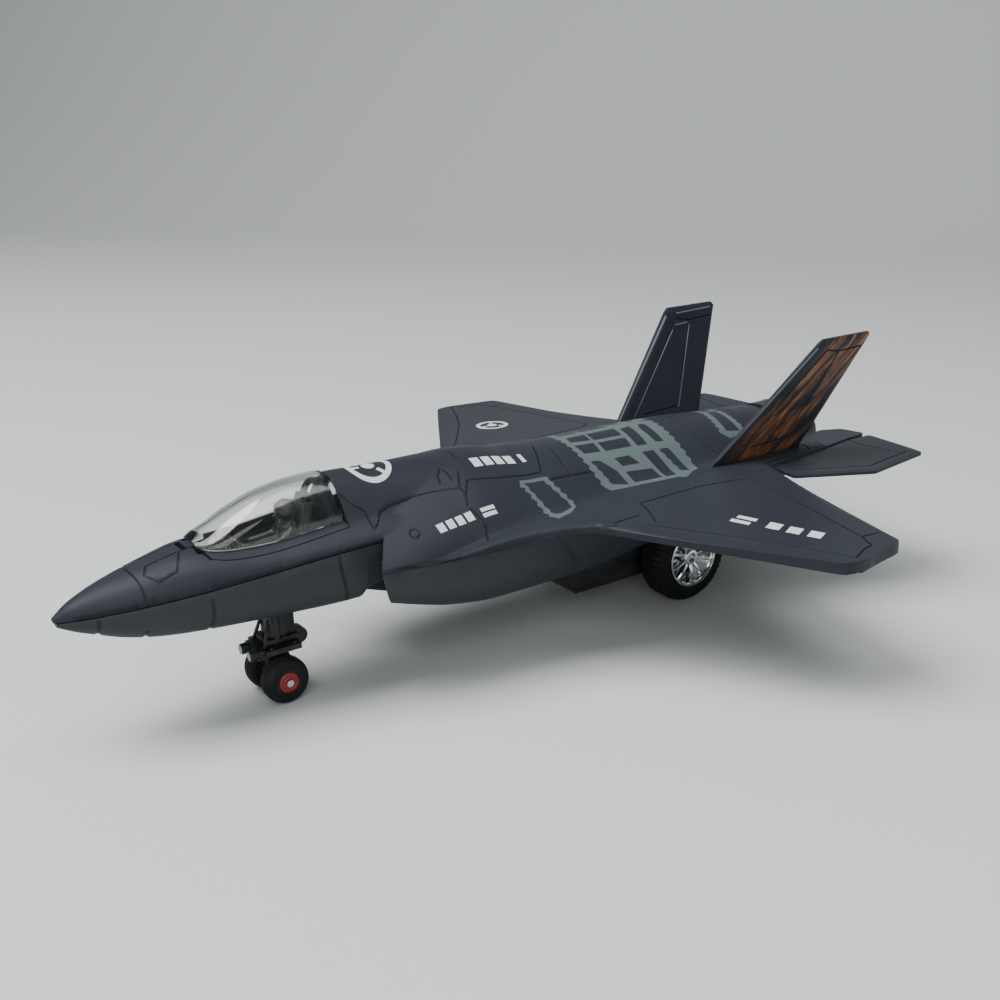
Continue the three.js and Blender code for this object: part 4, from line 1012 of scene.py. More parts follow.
bellyLines = {
    "side": [[(8.6, 34.6), (8.6, 26)], [(32.4, 34.5), (32.8, 23)], [(62.6, 38.2), (63.4, 33.5), (66, 24)],
             [(118, 34.6), (126, 25)], [(200, 35.2), (222, 35.4)]],
    "under": [[(-5.4, 39), (-5.4, 60), (5.4, 60), (5.4, 39), (-5.4, 39)],
              *[[(x, 80), (x, 118), (x * 2.1, 118), (x * 2.1, 86), (x, 80)] for x in (5.5, -5.5)],
              [(-13, 196), (0, 199), (13, 196)], *[[(x, 126), (x, 146)] for x in (15, -15)]],
    "notches": [8.6, 18.4, 32.6],
}
bellySegments = {key: segmentsOf(bellyLines[key]) for key in ("side", "under")}


def engraveBelly(x, s, z, share):
    def ditch(away, half=0.3, slope=0.25):
        return 1 - np.clip((away - half) / slope, 0, 1)
    side = ditch(distanceTo(np.column_stack([s, z]), bellySegments["side"])) * (share > 0.72)
    under = ditch(distanceTo(np.column_stack([x, s]), bellySegments["under"])) * (share < 0.82)
    notch = np.max([ditch(np.abs(s - at), 0.45, 0.3) for at in bellyLines["notches"]],
                   axis=0) * (share < 0.9)
    return grooveCut["depth"] * np.maximum(np.maximum(side, under), notch * 1.5)


bellyCuts = {"join": 68, "duct": [(18.6, 39), (23.8, 36.8), (24, 35.2), (20, 26), (18.2, 26)],
             "ductCentre": (19.5, 31.5), "ductScales": ((64, 1), (76, 1), (92, 0.8)),
             "well": (171.5, 13.2), "wellRadius": 14.6, "wellMiddle": 16, "wellHalf": 5.6,
             "seatRadius": 11.4, "seatEnds": (214, 245), "bores": (88, 120, 205), "boreRadius": 1.9,
             "boreDepth": 2.4}


def makeBelly():
    fine = [at + off for at in (*bellyLines["notches"], 63.2, 65) for off in np.arange(-1.2, 1.3, 0.2)]
    forwardRows = sorted({round(float(s), 2) for s in [0.6, 0.9, 1.3, 2, *np.arange(2.8, 84, 0.7), 69.6,
                                                       70.8, *fine]})
    forward = sectionBody(forwardRows, chineHalf, lambda s: chineHeight(s) - seamGap,
                          lambda s: chineHeight(s) - keelDrop(s), 3, engraveBelly)
    middleRows = sorted({round(float(s), 2) for s in [*np.arange(66, 230.1, 0.9), *np.arange(117.2, 118.9,
            0.2)]})
    middle = sectionBody(middleRows, bellyHalf, lambda s: seamHeight(s) - seamGap, bellyHeight, 2.6,
                         engraveBelly, 96)
    body = shape("belly_middle", *middle[:2])
    planes = []
    for side in (1, -1):
        def front(x, z):
            lean = intake["lowerSweep"] * (intake["half"] - x) + intake["drop"] * (intake["height"] - z)
            return [side * x, place(intake["station"] + lean), z]
        inner = -0.01 if side > 0 else 0.02
        corners = [(inner, 5), (45, 5), (45, 60), (inner, 60)]
        points = [front(x, z) for x, z in corners] + [[side * x, place(40), z] for x, z in corners]
        planes.append(shape("front_cut", points, [(0, 1, 2, 3), (7, 6, 5, 4), (0, 1, 5, 4), (1, 2, 6, 5),
                                                  (2, 3, 7, 6), (3, 0, 4, 7)]))
    combine(body, planes, "DIFFERENCE")
    combine(body, [shape("belly_front", *forward[:2])], "UNION")
    cuts = []
    for side in (1, -1):
        cx, cz = bellyCuts["ductCentre"]
        points = [[side * (cx + (x - cx) * k), place(s), cz + (z - cz) * k]
                  for s, k in bellyCuts["ductScales"] for x, z in bellyCuts["duct"]]
        faces = [tuple(range(5)), tuple(range(14, 9, -1)), *gridFaces(3, 5)]
        cuts.append(shape("duct", points, faces))
        station, height = bellyCuts["well"]
        well = ringLoop(place(station), height, bellyCuts["wellRadius"], 64)
        middle, half = side * bellyCuts["wellMiddle"], bellyCuts["wellHalf"]
        cuts.append(shape("well", *prism(well, middle - half, middle + half, 0)))
    seat = [(x, nozzle["height"] + z) for x, z in ringLoop(0, 0, bellyCuts["seatRadius"], 64)]
    cuts.append(shape("seat", *prism(seat, *map(place, bellyCuts["seatEnds"]), 1)))
    for s in bellyCuts["bores"]:
        top = float(bellyHeight(s)) + bellyCuts["boreDepth"]
        cuts.append(shape("bore", *prism(ringLoop(0, place(s), bellyCuts["boreRadius"], 24), 2, top, 2)))
    combine(body, cuts, "DIFFERENCE")
    points, faces = takeApart(body)
    stations = points[:, 1] + halfLength
    ahead = stations < bellyCuts["join"]
    limit = np.where(ahead, chineHalf(stations), bellyHalf(stations))
    lines = engraveBelly(points[:, 0], stations, points[:, 2], np.abs(points[:, 0]) / limit)
    low = np.where(ahead, chineHeight(stations), seamHeight(stations)) - seamGap
    # painted shade and grime for the belly's engraved lines, below the seam
    shadeGrimeMask = np.clip(lines / grooveCut["depth"], 0, 1) * (points[:, 2] < low - 0.1)
    addPiece("belly_skin", points, faces, "airframe", "belly_plastic", ["lower_shell"], ["belly"],
             groove=shadeGrimeMask,
             sharp=32)


makeBelly()
print("belly made")


# heaps of closed parts
class Pile:
    # closed parts heaped into one list of points and one of faces, with the look that each face takes
    def __init__(self, points=(), faces=()):
        self.points = [tuple(p) for p in points]
        self.faces = list(faces)
        self.looks = [0] * len(self.faces)

    def add(self, part, look=0):
        base = len(self.points)
        self.points += [tuple(p) for p in part[0]]
        self.faces += [tuple(i + base for i in f) for f in part[1]]
        self.looks += [look] * len(part[1])


def gather(parts):
    whole = Pile()
    for part in parts:
        whole.add(part)
    return whole.points, whole.faces


# fins and stabilizers
finShape = {"base": 21.6, "foot": 40, "cant": (32.2 - 21.6) / (73.4 - 40), "thin": 0.45, "thick": 0.95,
            "inset": 1.6,
            "outline": [(175.4, 39.0), (211, 39.0), (226.5, 72.3), (225.6, 73.3), (207.2, 73.4),
                        (205.6, 72.2)]}
stabilizerShape = {"outline": [(29, 193.4), (37.4, 192.3), (38.2, 192.8), (48.8, 212.6), (48.8, 213.8),
                               (45.6, 236.9), (44.9, 237.6), (41, 238.4), (25, 239.9), (24, 239.2),
                               (24, 231.2),
                               (27.4, 210)], "middle": 37.65, "thin": 0.42, "thick": 0.68, "inset": 1.7}


def stripe(start, end, width):
    start, end = np.array(start, float), np.array(end, float)
    side = np.array([-(end - start)[1], (end - start)[0]]) / np.hypot(*(end - start)) * width / 2
    return [tuple(p) for p in (start - side, end - side, end + side, start + side)]


def crowned(outline, setup):
    edge = segmentsOf([[*outline, outline[0]]])

    def half(u, v):
        away = np.clip(distanceTo(np.column_stack([u, v]), edge) / setup["inset"], 0, 1)
        return setup["thin"] + (setup["thick"] - setup["thin"]) * np.sin(away * math.pi / 2)
    return half


finLines = [[(181.5, 39.5), (209.4, 70)], [(203, 44), (214.6, 69)], [(209.4, 70), (214.6, 69),
                                                                     (223.6, 69.4)],
            [(190, 43.5), (203, 44)]]
finPrints = [("edge", stripe((177.4, 41.2), (205.4, 71.2), 0.55), [], side) for side in (1, -1)]
finPrints += [("edge", stripe(*ends, 0.32), [], -1) for ends in (((184, 42.2), (207, 66.8)),
                                                                 ((203.6, 43.6),
              (214.2, 67.6)), ((209.6, 71.6), (224.4, 72)), ((208.4, 68.2), (213.6, 68.4)))]


def makeTail():
    finHalf = crowned(finShape["outline"], finShape)
    for name, side in (("left", 1), ("right", -1)):
        def lean(points):
            across = finShape["base"] + (points[:, 1] - finShape["foot"]) * finShape["cant"] + points[:,
                    2]
            return np.column_stack([side * across, place(points[:, 0]), points[:, 1]])
        art = "artLeft" if side > 0 else "artRight"
        points, faces, looks, groove = sheetSkin(finShape["outline"], [], finLines, finPrints, 0.8,
                                                 finHalf,
                                                 lambda u, v: -finHalf(u, v), lean, (0.12, 0.4, 0.8),
                                                 True)
        addPiece(f"{name}_fin_skin", points, faces, "airframe", "fin_paint", [f"{name}_fin"],
                 [art, *[mark[0] for mark in finPrints]], looks, groove=groove)
        plan = [(x * side, s) for x, s in stabilizerShape["outline"]]
        lines = [[(x * side, s) for x, s in line] for line in (
            [(31.2, 196.6), (35.2, 196.2), (45.2, 215), (42.6, 233.6)], [(25, 230.2), (30.5, 229.2),
                    (42.6, 231.4)],
            [(29.4, 199.5), (33.2, 203.5)])]
        flat = crowned(plan, stabilizerShape)
        middle = stabilizerShape["middle"]
        points, faces, looks, groove = sheetSkin(plan, [], lines, [], 0.8, lambda u, v: middle + flat(u,
                v),
                                                 lambda u, v: middle - flat(u, v), inPlan,
                                                 (0.12, 0.4, 0.8), True)
        tab = prism([(side * x, place(s)) for x, s in ((22, 200), (29, 200), (29, 210), (22, 210))], 37.2,
                    38.1, 2)
        addPiece(f"{name}_stabilizer_skin", *gather([(points, faces), tab]), "airframe", "fin_paint",
                 [f"{name}_stabilizer"], ["fin"], groove=[*groove, *[0] * len(tab[0])])


makeTail()
print("tail made")


# canopy
glassHalf = through([(32.2, 3.4), (35, 6.6), (41, 8.3), (52, 9.4), (62, 9.9), (69, 10)])
glassTop = through([(32.2, 45.4), (37, 47.6), (43.3, 50.9), (51, 53.7), (59, 54.9), (64.5, 55.1),
                    (69, 54.7)])
glassWall = 1.1


canopyLook = {"columns": 56, "rows": 46, "frameDepth": 1.8, "bowSink": 1.6,
              "bow": ((64.2, 1.7), (64.4, 1.5), (65.5, 1.5), (65.7, 1.7), (65.7, 2.7), (65.5, 2.9),
                      (64.4, 2.9),
                      (64.2, 2.7))}


def glassRow(s, thick, count, lift=0.0):
    half = float(glassHalf(s)) - thick
    sill = float(forwardTop(glassHalf(s), s)) + seamGap
    angles = np.linspace(0, math.pi, count + 1)
    rise = float(glassTop(s)) - thick - sill
    return np.column_stack([half * np.cos(angles), np.full(count + 1, place(s)),
                            sill - lift + (rise + lift) * np.sin(angles)])


def closedGrid(rows):
    # a tube of rows closed along its length and at both ends
    n = len(rows[0])
    points = [p for row in rows for p in row]
    ends = [tuple(range(n)), tuple(range(len(points) - n, len(points)))]
    return points, [*gridFaces(len(rows), n), *ends]


def makeCanopy():
    count, rows = canopyLook["columns"], canopyLook["rows"]
    outer = [glassRow(s, 0, count) for s in np.linspace(32.6, 67.2, rows)]
    inner = [glassRow(s, glassWall, count) for s in np.linspace(35.2, 66.4, rows)]
    n = count + 1
    points = np.concatenate([*outer, *inner])
    half = rows * n
    faces = []
    for r in range(rows - 1):
        for j in range(count):
            a = r * n + j
            faces += [(a, a + 1, a + n + 1, a + n), (half + a, half + a + n, half + a + n + 1,
                                                     half + a + 1)]
        for a in (r * n, r * n + count):
            faces.append((a, a + n, half + a + n, half + a))
    for r in (0, rows - 1):
        faces += [(r * n + j, r * n + j + 1, half + r * n + j + 1,
                   half + r * n + j) for j in range(count)]
    addPiece("canopy_glass_skin", points, faces, "canopy", "canopy_clear", ["canopy_glass"], ["glass"],
             sharp=45)

    def rim(x, s):
        return forwardTop(np.minimum(np.abs(x), canopyHalf(s)), s)
    stations = [35, *np.arange(36, 66, 1.5), 66]
    side = [(float(glassHalf(s)) - glassWall, float(s)) for s in stations]
    made = sheetSkin(canopyHole(0), [bothSides(side)], [], [], 0.6, rim, lambda x,
                     s: rim(x, s) - canopyLook["frameDepth"], inPlan,
                     (0.08, 0.25, 0.5))
    addPiece("canopy_frame_skin", *made[:2], "canopy", "frame_plastic", ["canopy_frame"], ["frame"],
             groove=made[3])
    bow = [glassRow(s, thick, 40, canopyLook["bowSink"]) for s, thick in canopyLook["bow"]]
    addPiece("canopy_bow", *closedGrid(list(zip(*bow))), "canopy", "frame_plastic", (), ["frame"])


makeCanopy()
print("canopy made")


# softened copies of frame solids
def softened(node, body, slotName, looks, width=0.2, flat=12.0, corner=28.0, extra=()):
    # the node's solid with its flat facets joined and its corners rounded; extra holds (part, look) pairs
    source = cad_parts[node]
    work = bmesh.new()
    work.from_mesh(source.data)
    bmesh.ops.remove_doubles(work, verts=work.verts, dist=1e-6)
    bmesh.ops.dissolve_limit(work, angle_limit=math.radians(flat), verts=work.verts, edges=work.edges)
    sharp = [e for e in work.edges if len(e.link_faces) == 2 and e.calc_face_angle(0) > math.radians(corner)]
    bmesh.ops.bevel(work, geom=sharp, offset=width * millimetre, offset_type="OFFSET", segments=2,
                    profile=0.6, affect="EDGES", clamp_overlap=True)
    bmesh.ops.recalc_face_normals(work, faces=work.faces)
    work.verts.ensure_lookup_table()
    whole = Pile([tuple(c / millimetre for c in v.co) for v in work.verts],
                 [tuple(v.index for v in f.verts) for f in work.faces])
    work.free()
    for part, look in extra:
        whole.add(part, look)
    addPiece(f"{node}_piece", whole.points, whole.faces, body, slotName, [node], looks, whole.looks,
             sharp=50,
             weld=0.001)


def bar(start, end, radius0, radius1, sides=20):
    # a round bar between two places, with softly domed ends
    start, end = Vector(start), Vector(end)
    way = (end - start).normalized()
    side = way.orthogonal().normalized()
    over = way.cross(side)
    rings = []
    for share, radius, out in ((0, 0.02, -0.35), (0, 0.6, -0.25), (0, 0.9, -0.1), (0, 1, 0.1),
                               (1, 1, -0.1),
                               (1, 0.9, 0.1), (1, 0.6, 0.25), (1, 0.02, 0.35)):
        r = radius0 + (radius1 - radius0) * share
        centre = start + (end - start) * share + way * out * r
        rings.append([centre + (side * math.cos(tau * i / sides)
                                + over * math.sin(tau * i / sides)) * r * radius
                      for i in range(sides)])
    return closedGrid(rings)


def slab(low, high, round0=0.2):
    # a box with chamfered corners
    low, high = np.array(low, float), np.array(high, float)
    work = bmesh.new()
    bmesh.ops.create_cube(work, size=1.0)
    for v in work.verts:
        v.co = Vector((low + high) / 2 + np.array(v.co) * (high - low))
    bmesh.ops.bevel(work, geom=list(work.edges), offset=round0, segments=2, profile=0.6, affect="EDGES")
    points = [tuple(v.co) for v in work.verts]
    faces = [tuple(v.index for v in f.verts) for f in work.faces]
    work.free()
    return points, faces


def disc(centre, axis, radius, deep, sides=20):
    # a shallow round boss whose axis is X, Y or Z
    profile = [(-deep / 2, 0.001), (-deep / 2, radius), (deep * 0.3, radius), (deep / 2, radius * 0.85),
               (deep / 2, 0.001)]
    return lathe(profile, sides, axis, centre)


# cockpit: tub, instruments, seat and helmeted pilot
cockpit = {"panelStation": 44.55, "dials": [(-3.4, 41.0), (3.4, 41.0), (0, 41.2)],
           "screens": [(-1.9, 38.4), (1.9, 38.4)], "screenHalf": 1.3}


def makeCockpit():
    face = place(cockpit["panelStation"])
    trim = []
    for x, z in cockpit["screens"]:
        h = cockpit["screenHalf"]
        trim.append((slab((x - h - 0.25, face - 0.3, z - h - 0.25), (x + h + 0.25, face + 0.12,
                                                                     z + h + 0.25),
                           0.1), 0))
        trim.append((slab((x - h, face - 0.2, z - h), (x + h, face + 0.2, z + h), 0.05), 1))
    for x, z in cockpit["dials"]:
        trim.append((lathe([(-0.3, 0.001), (-0.3, 1), (0.1, 1), (0.1, 0.8), (0, 0.8), (0, 0.001)], 20, 1,
                            (x, face, z)), 0))
        trim.append((disc((x, face, z), 1, 0.62, 0.16, 16), 1))
    for side in (1, -1):
        for row in range(5):
            at = 47.5 + row * 2.4
            trim.append((slab((side * 5.7 - 0.8, place(at), 37.9), (side * 5.7 + 0.8, place(at + 1.5),
                                                                    38.3), 0.1),
                         1 if row % 2 else 0))
        trim.append((bar((side * 5, place(50), 38), (side * 5, place(49.6), 39.6), 0.35, 0.5, 12), 0))
    for step in range(6):
        trim.append((slab((-5, place(39.2 + step * 0.8), 42.6), (5, place(39.5 + step * 0.8), 42.95),
                          0.08), 0))
    softened("cockpit_tub", "airframe", "cockpit_plastic", ["cockpit", "dial"], 0.18, extra=trim)
    straps = []
    for side in (1, -1):
        straps.append((slab((side * 3.1 - 0.25, place(51.4), 36.4), (side * 3.1 + 0.25, place(58.5), 37),
                            0.12), 0))
        straps.append((slab((side * 1.5 - 0.4, place(60.6), 46.6), (side * 1.5 + 0.4, place(61.6), 50.2),
                            0.15), 1))
        straps.append((bar((side * 3.5, place(58.6), 37), (side * 3.5, place(61.4), 47.6), 0.4, 0.4, 12),
                       0))
    straps.append((slab((-2.2, place(60.5), 47.2), (2.2, place(61.3), 49.8), 0.35), 0))
    straps.append((bar((-1.1, place(62.2), 50.6), (1.1, place(62.2), 50.6), 0.35, 0.35, 12), 1))
    softened("pilot_seat", "airframe", "cockpit_plastic", ["cockpit", "black"], 0.35, extra=straps)


def makePilot():
    # a small helmeted figure: limbs joined by a fine remesh, then helmet, visor and mask
    parts = [bar((0, place(55.6), 38.2), (0, place(57.2), 43.2), 2.35, 2.7, 24),
             bar((-1.9, place(57.4), 43.6), (1.9, place(57.4), 43.6), 1.5, 1.5, 20),
             bar((0, place(57.4), 44), (0, place(57.1), 46.2), 1.15, 1.1, 16)]
    for side in (1, -1):
        parts += [bar((side * 1.5, place(55.4), 38.1), (side * 1.9, place(48.2), 38.5), 1.25, 1.05, 18),
                  bar((side * 1.9, place(48.2), 38.5), (side * 1.9, place(46.2), 37.2), 1.05, 0.85, 18),
                  bar((side * 2.9, place(57.2), 43.4), (side * 3.4, place(54.4), 40.9), 0.95, 0.85, 18),
                  bar((side * 3.4, place(54.4), 40.9), (side * 3.2, place(49.6), 40.4), 0.85, 0.68, 18),
                  bar((side * 3.2, place(49.6), 40.4), (side * 3.1, place(48.6), 40.5), 0.8, 0.6, 16)]
    body = shape("pilot_body", *gather(parts))
    remesh = body.modifiers.new("remesh", "REMESH")
    remesh.mode = "VOXEL"
    remesh.voxel_size = 0.00016
    smooth = body.modifiers.new("smooth", "SMOOTH")
    smooth.iterations = 6
    bake(body)
    figure = Pile(*takeApart(body))
    head = (0, place(56.9), 47.3)
    rings = []
    for tilt in np.linspace(0.02, math.pi - 0.02, 22):
        ring = []
        for turn in np.linspace(0, tau, 33)[:-1]:
            x, y, z = math.sin(tilt) * math.cos(turn), math.sin(tilt) * math.sin(turn), math.cos(tilt)
            brow = 1 + 0.05 * max(0, -y) * (1 - abs(z))
            low = 0.86 if z < -0.45 else 1
            ring.append((head[0] + 2.6 * x * low, head[1] + 2.75 * y * brow * low, head[2] + 2.7 * z))
        rings.append(ring)
    figure.add(closedGrid(rings), 0)
    for tiltLow, tiltHigh, out, ink in ((1.12, 1.72, 2.86, 1), (1.02, 1.14, 2.93, 0)):
        rings = []
        for turn in np.linspace(-math.pi / 2 - 1.15, -math.pi / 2 + 1.15, 25):
            rings.append([(head[0] + r * math.sin(t) * math.cos(turn),
                           head[1] + r * math.sin(t) * math.sin(turn),
                           head[2] + r * math.cos(t)) for r, t in ((out, tiltLow),
                                                                   (out, (tiltLow + tiltHigh) / 2),
                          (out, tiltHigh), (out - 0.5, tiltHigh), (out - 0.5, tiltLow))])
        figure.add(closedGrid(rings), ink)
    figure.add(bar((0, place(54.6), 46.0), (0, place(54.0), 45.7), 0.95, 0.7, 18), 1)
    hose = [Vector((1.7 * t, place(54.0) + 1.2 * t, 45.4 - 2.8 * t + 0.6 * math.sin(math.pi * t)))
            for t in np.linspace(0, 1, 18)]
    figure.add(closedGrid([[p + Vector((0.3 * math.cos(a), 0, 0.3 * math.sin(a))) * (1 if i % 2 else 0.8)
                        for a in np.linspace(0, tau, 13)[:-1]] for i, p in enumerate(hose)]), 1)
    for side in (1, -1):
        figure.add(slab((side * 1.2 - 0.35, place(54.2), 39.4), (side * 1.2 + 0.35, place(54.9), 43.8),
                        0.12), 1)
    addPiece("pilot_piece", figure.points, figure.faces, "airframe", "pilot_plastic", ["pilot_figure"],
             ["pilot", "visor"], figure.looks, sharp=45)


makeCockpit()
makePilot()
print("cockpit made")


# nozzle
nozzleLook = {"petals": 15, "blades": 20}


def makeNozzle():
    back = nozzle["station"] + nozzle["length"]
    start = nozzle["station"]
    profile = [(start - 3, 8.3), (start - 3, 10.5), (start - 2.2, 10.6), (start + 1, 10.6),
               (start + 1.2, 10.35),
               (start + 1.9, 10.35), (start + 2.1, 10.6), (start + 3, 10.58), (start + 6, 10.2),
               (start + 9, 9.75),
               (start + 12, 9.2), (back - 0.3, 8.66), (back, 8.4), (back, 7.9), (back - 0.6, 7.75),
               (start + 9, 8.5), (start + 3, 9.0)]
    outline = [(place(s), r) for s, r in profile]

    def petals(angle, index):
        if not 7 <= index <= 14:
            return 1
        share = (angle * nozzleLook["petals"] / tau) % 1
        seam = min(share, 1 - share)
        return 1 - 0.03 * max(0, 1 - seam / 0.06) * (0 if index in (13,
                                                                    14) else 1) - 0.008 * abs(share - 0.5)
    parts = [lathe(outline, nozzleLook["petals"] * 18, 1, (0, 0, nozzle["height"]), petals)]
    for i in range(nozzleLook["petals"]):
        angle = tau * (i + 0.5) / nozzleLook["petals"]
        out = Vector((math.cos(angle), 0, math.sin(angle)))
        a = Vector((0, place(start + 3.4), nozzle["height"])) + out * 10.45
        b = Vector((0, place(start + 9.5), nozzle["height"])) + out * 9.6
        parts.append(bar(a, b, 0.42, 0.3, 10))
    addPiece("nozzle_ring_piece", *gather(parts), "airframe", "black_plastic", ["nozzle_ring"], ["soot"],
             sharp=30)
    at = start - 2.4
    hub = [(at, 0.001), (at, 7.7), (at + 1.0, 7.7), (at + 1.0, 7.1), (at + 0.7, 7.0), (at + 0.7, 2.7),
           (at + 1.9, 2.6), (at + 4.6, 1.5), (at + 6.2, 0.6), (at + 6.5, 0.001)]
    parts = [lathe([(place(s), r) for s, r in hub], 64, 1, (0, 0, nozzle["height"]))]
    for i in range(nozzleLook["blades"]):
        blade, faces = slab((2.4, -0.75, -0.12), (7.2, 0.75, 0.12), 0.08)
        turnBlade = Matrix.Rotation(-tau * i / nozzleLook["blades"], 4, "Y") @ Matrix.Rotation(0.6, 4,
                "X")
        spot = Vector((0, place(at + 1.3), nozzle["height"]))
        parts.append(([tuple(turnBlade @ Vector(p) + spot) for p in blade], faces))
    addPiece("nozzle_core_piece", *gather(parts), "airframe", "black_plastic", ["nozzle_core"], ["soot"],
             sharp=40)


makeNozzle()
print("nozzle made")


# wheels
rearWheel = {"station": 171.5, "radius": 13.2, "inner": 11.4, "width": 9.2, "treads": 46, "spokes": 5,
             "spread": 13.5}
noseWheel = {"station": 51, "radius": 5.9, "inner": 2.4, "width": 5.0}


def makeRearWheel(name, side):
    a, b, r = rearWheel["inner"], rearWheel["inner"] + rearWheel["width"], rearWheel["radius"]
    centre = (0, place(rearWheel["station"]), r)
    tread = []
    for k, edge in enumerate(np.linspace(a + 2.0, b - 2.0, 5)):
        tread += [(edge - 0.65, r), (edge - 0.3, r), (edge - 0.2, r - 0.35), (edge + 0.1, r - 0.35),
                  (edge + 0.2, r)] if 0 < k < 4 else [(edge, r)]
    profile = [(a, 8.75), (a, 9.2), (a + 0.05, 9.3), (a + 0.05, 10.6), (a + 0.25, 10.75),
               (a + 0.35, 11.6),
               (a + 0.75, 12.4), (a + 1.3, r - 0.28), *tread, (b - 1.3, r - 0.28), (b - 0.75, 12.4),
               (b - 0.35, 11.6), (b - 0.25, 10.75), (b - 0.05, 10.6), (b - 0.05, 9.3), (b, 9.2),
               (b, 8.75)]
    shoulders = [i for i, (x, radius) in enumerate(profile) if 12.2 < radius < 13.1 or
                 (radius >= r - 0.01 and (x < a + 2.3 or x > b - 2.3))]

    def bite(angle, index):
        share = (angle * rearWheel["treads"] / tau) % 1
        return 0.968 if index in shoulders and share < 0.28 else 1
    made = lathe([(x * side, radius) for x, radius in profile], rearWheel["treads"] * 7, 0, centre, bite)
    addPiece(f"rear_tyre_{name}_piece", *made, "rear_wheels", "tyre_rubber", [f"rear_tyre_{name}"],
             ["rubber"],
             sharp=28)
    barrel = [(a + 0.4, 7.9), (a + 0.4, 8.5), (b + 0.05, 8.5), (b + 0.25, 8.42), (b + 0.3, 8.25),
              (b + 0.3, 7.95),
              (b + 0.1, 7.78), (b - 0.3, 7.72), (b - 0.6, 7.4), (b - 4, 7.5)]
    dish = [(b - 5, 1.35), (b - 5, 3), (b - 6.2, 8.1), (b - 5.2, 8.1), (b - 3.6, 3.2), (b - 2.2, 2.5),
            (b - 0.8, 2.35), (b - 0.5, 2.1), (b - 0.45, 1.35)]
    parts = [lathe([(x * side, radius) for x, radius in loop], 72, 0, centre) for loop in (barrel, dish)]
    for i in range(2 * rearWheel["spokes"]):
        turnBy = tau * (i // 2) / rearWheel["spokes"]
        turnBy += math.radians(rearWheel["spread"]) * (1 if i % 2 else -1)
        rings = []
        for radius in np.linspace(1.9, 7.95, 9):
            share = (radius - 1.9) / 6.05
            wide = 0.62 - 0.16 * math.sin(math.pi * share) + 0.12 * share
            crown = b - 1.0 + 0.55 * math.sin(math.pi * min(1, share * 0.9))
            foot = crown - 1.5
            sweep = (1 if i % 2 else -1) * 0.35 * share
            ring = [(crown, sweep - wide * 0.55), (crown, sweep + wide * 0.55),
                    (crown - 0.25, sweep + wide),
                    (foot, sweep + wide), (foot, sweep - wide), (crown - 0.25, sweep - wide)]
            rings.append([(side * x, centre[1] + radius * math.cos(turnBy) - y * math.sin(turnBy),
                           centre[2] + radius * math.sin(turnBy) + y * math.cos(turnBy)) for x,
                          y in ring])
        parts.append(closedGrid(rings))
    for i in range(rearWheel["spokes"]):
        angle = tau * (i + 0.5) / rearWheel["spokes"]
        parts.append(disc((side * (b - 1.9), centre[1] + 2.75 * math.cos(angle),
                           centre[2] + 2.75 * math.sin(angle)), 0, 0.4, 1.2, 12))
    addPiece(f"rear_rim_{name}_piece", *gather(parts), "rear_wheels", "chrome", [f"rear_rim_{name}"],
             ["chrome"],
             sharp=32)


def makeNoseWheel(name, side):
    a, b, r = noseWheel["inner"], noseWheel["inner"] + noseWheel["width"], noseWheel["radius"]
    centre = (0, place(noseWheel["station"]), r)
    profile = [(a, 2.68), (a, 3.4), (a + 0.08, 3.5), (a + 0.08, 4.4), (a, 4.5), (a + 0.1, 4.95),
               (a + 0.4, 5.4),
               (a + 0.9, 5.72), (a + 1.5, 5.88), (a + 1.6, 5.7), (a + 1.85, 5.7), (a + 1.95, r),
               (b - 1.95, r),
               (b - 1.85, 5.7), (b - 1.6, 5.7), (b - 1.5, 5.88), (b - 0.9, 5.72), (b - 0.4, 5.4),
               (b - 0.1, 4.95),
               (b, 4.5), (b - 0.08, 4.4), (b - 0.08, 3.5), (b, 3.4), (b, 2.68)]
    made = lathe([(x * side, radius) for x, radius in profile], 96, 0, centre)
    addPiece(f"nose_tyre_{name}_piece", *made, "nose_wheels", "tyre_rubber", [f"nose_tyre_{name}"],
             ["rubber"],
             sharp=30)
    hub = [(a - 0.2, 1), (a - 0.2, 2.4), (a, 2.6), (b - 0.1, 2.6), (b + 0.15, 2.55), (b + 0.3, 2.35),
           (b + 0.32, 2.05), (b + 0.2, 1.9), (b + 0.2, 1.55), (b + 0.38, 1.4), (b + 0.4, 1)]
    addPiece(f"nose_hub_{name}_piece", *lathe([(x * side, radius) for x, radius in hub], 56, 0, centre),
             "nose_wheels", "hub_red", [f"nose_hub_{name}"], ["red"], sharp=30)


for name, side in (("left", 1), ("right", -1)):
    makeRearWheel(name, side)
    makeNoseWheel(name, side)
print("wheels made")


# nose leg and motor box
def makeNoseLeg():
    s, wheel = noseWheel["station"], noseWheel["radius"]
    trim = []
    for side in (1, -1):
        trim.append((bar((side * 2.9, place(s + 1.5), 15), (side * 2.9, place(s + 1.5), 25), 0.55, 0.55,
                         16), 0))
        trim.append((bar((side * 3.4, place(s - 3.8), 14.6), (side * 1.9, place(s - 1.8), 21), 0.45, 0.45,
                         14), 0))
        trim.append((disc((side * 2.6, place(s - 7.65), 13.2), 1, 1.15, 0.3, 20), 1))
        trim.append((disc((side * 1.9, place(s), wheel), 0, 1.5, 0.5, 20), 0))
        for at in (-2.6, 3.6):
            trim.append((disc((side * 4.6, place(s + at), 14.7), 2, 0.5, 0.5, 12), 0))
    trim.append((slab((1.6, place(s - 1.9), 16.6), (3.4, place(s + 2.6), 23.2), 0.5), 0))
    trim.append((disc((0, place(s + 6.4), 14.6), 0, 1.1, 3.9, 18), 0))
    softened("nose_leg", "airframe", "black_plastic", ["black", "visor"], 0.3, extra=trim)


def makeMotor():
    softened("chassis_box", "airframe", "black_plastic", ["black"], 0.45)
    for name in ("left", "right"):
        softened(f"gearbox_plate_{name}", "airframe", "gear_nylon", ["nylon"], 0.12)


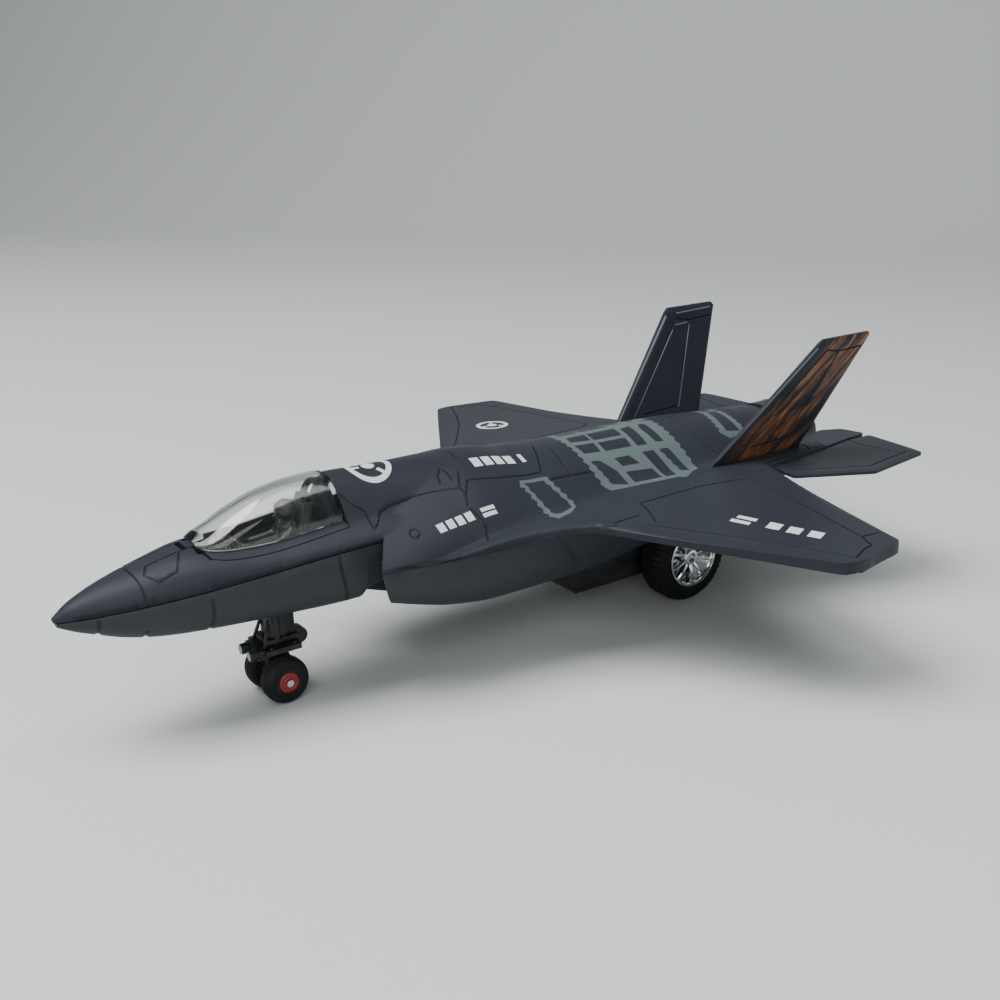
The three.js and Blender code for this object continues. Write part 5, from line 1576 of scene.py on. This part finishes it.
kept = {"steel": ["canopy_hinge_pin", "nose_axle", "rear_axle", "idler_pin", "drum_pin", "mainspring",
                  "belly_screw_1", "belly_screw_2", "belly_screw_3", "box_screw_1", "box_screw_2"],
        "nylon": ["axle_pinion", "idler_gear", "spring_drum"]}
makeNoseLeg()
makeMotor()
for look, nodes in kept.items():
    for node in nodes:
        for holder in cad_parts[node].material_slots:
            holder.material = materials[look]
print("nose leg and motor made")


# backdrop and lights
def makeStage():
    # a seamless sheet: flat under the toy, rising in a wide curve behind it
    across, back = Vector((0.83, 0.56, 0)), Vector((-0.56, 0.83, 0))
    profile = [(-1.6, 0), (0.75, 0)] + [(0.75 + 0.5 * math.sin(a), 0.5 - 0.5 * math.cos(a))
                                        for a in np.linspace(0.1, 1.5, 14)] + [(1.27, 2.2)]
    points, faces = [], []
    for out in (-3, 3):
        points += [tuple(1000 * (across * out + back * depth) + Vector((0, 0, height * 1000)))
                   for depth, height in profile]
    count = len(profile)
    faces = [(i, i + 1, count + i + 1, count + i) for i in range(count - 1)]
    mesh = bpy.data.meshes.new("backdrop")
    mesh.from_pydata([tuple(c * millimetre for c in p) for p in points], [], faces)
    mesh.materials.append(materials["backdrop"])
    mesh.shade_smooth()
    sheet = newObject("backdrop", mesh)


lights = {"key": {"at": (-0.25, -0.55, 1.2), "size": 0.8, "power": 22},
          "fill": {"at": (1.0, -0.6, 0.8), "size": 1.0, "power": 7},
          "over": {"at": (0.15, 0.1, 1.3), "size": 0.8, "power": 7}}


def makeLights():
    for name, setup in lights.items():
        data = bpy.data.lights.new(name, "AREA")
        data.size = setup["size"]
        data.energy = setup["power"]
        light = newObject(name, data)
        light.location = setup["at"]
        light.rotation_euler = (Vector((0, 0, 0.03)) - light.location).to_track_quat("-Z", "Y").to_euler()
    world = bpy.data.worlds.new("studio")
    world.use_nodes = True
    world.node_tree.nodes["Background"].inputs[0].default_value = (0.75, 0.8, 0.8, 1)
    world.node_tree.nodes["Background"].inputs[1].default_value = 0.3
    bpy.context.scene.world = world


makeStage()
makeLights()
print("stage made")
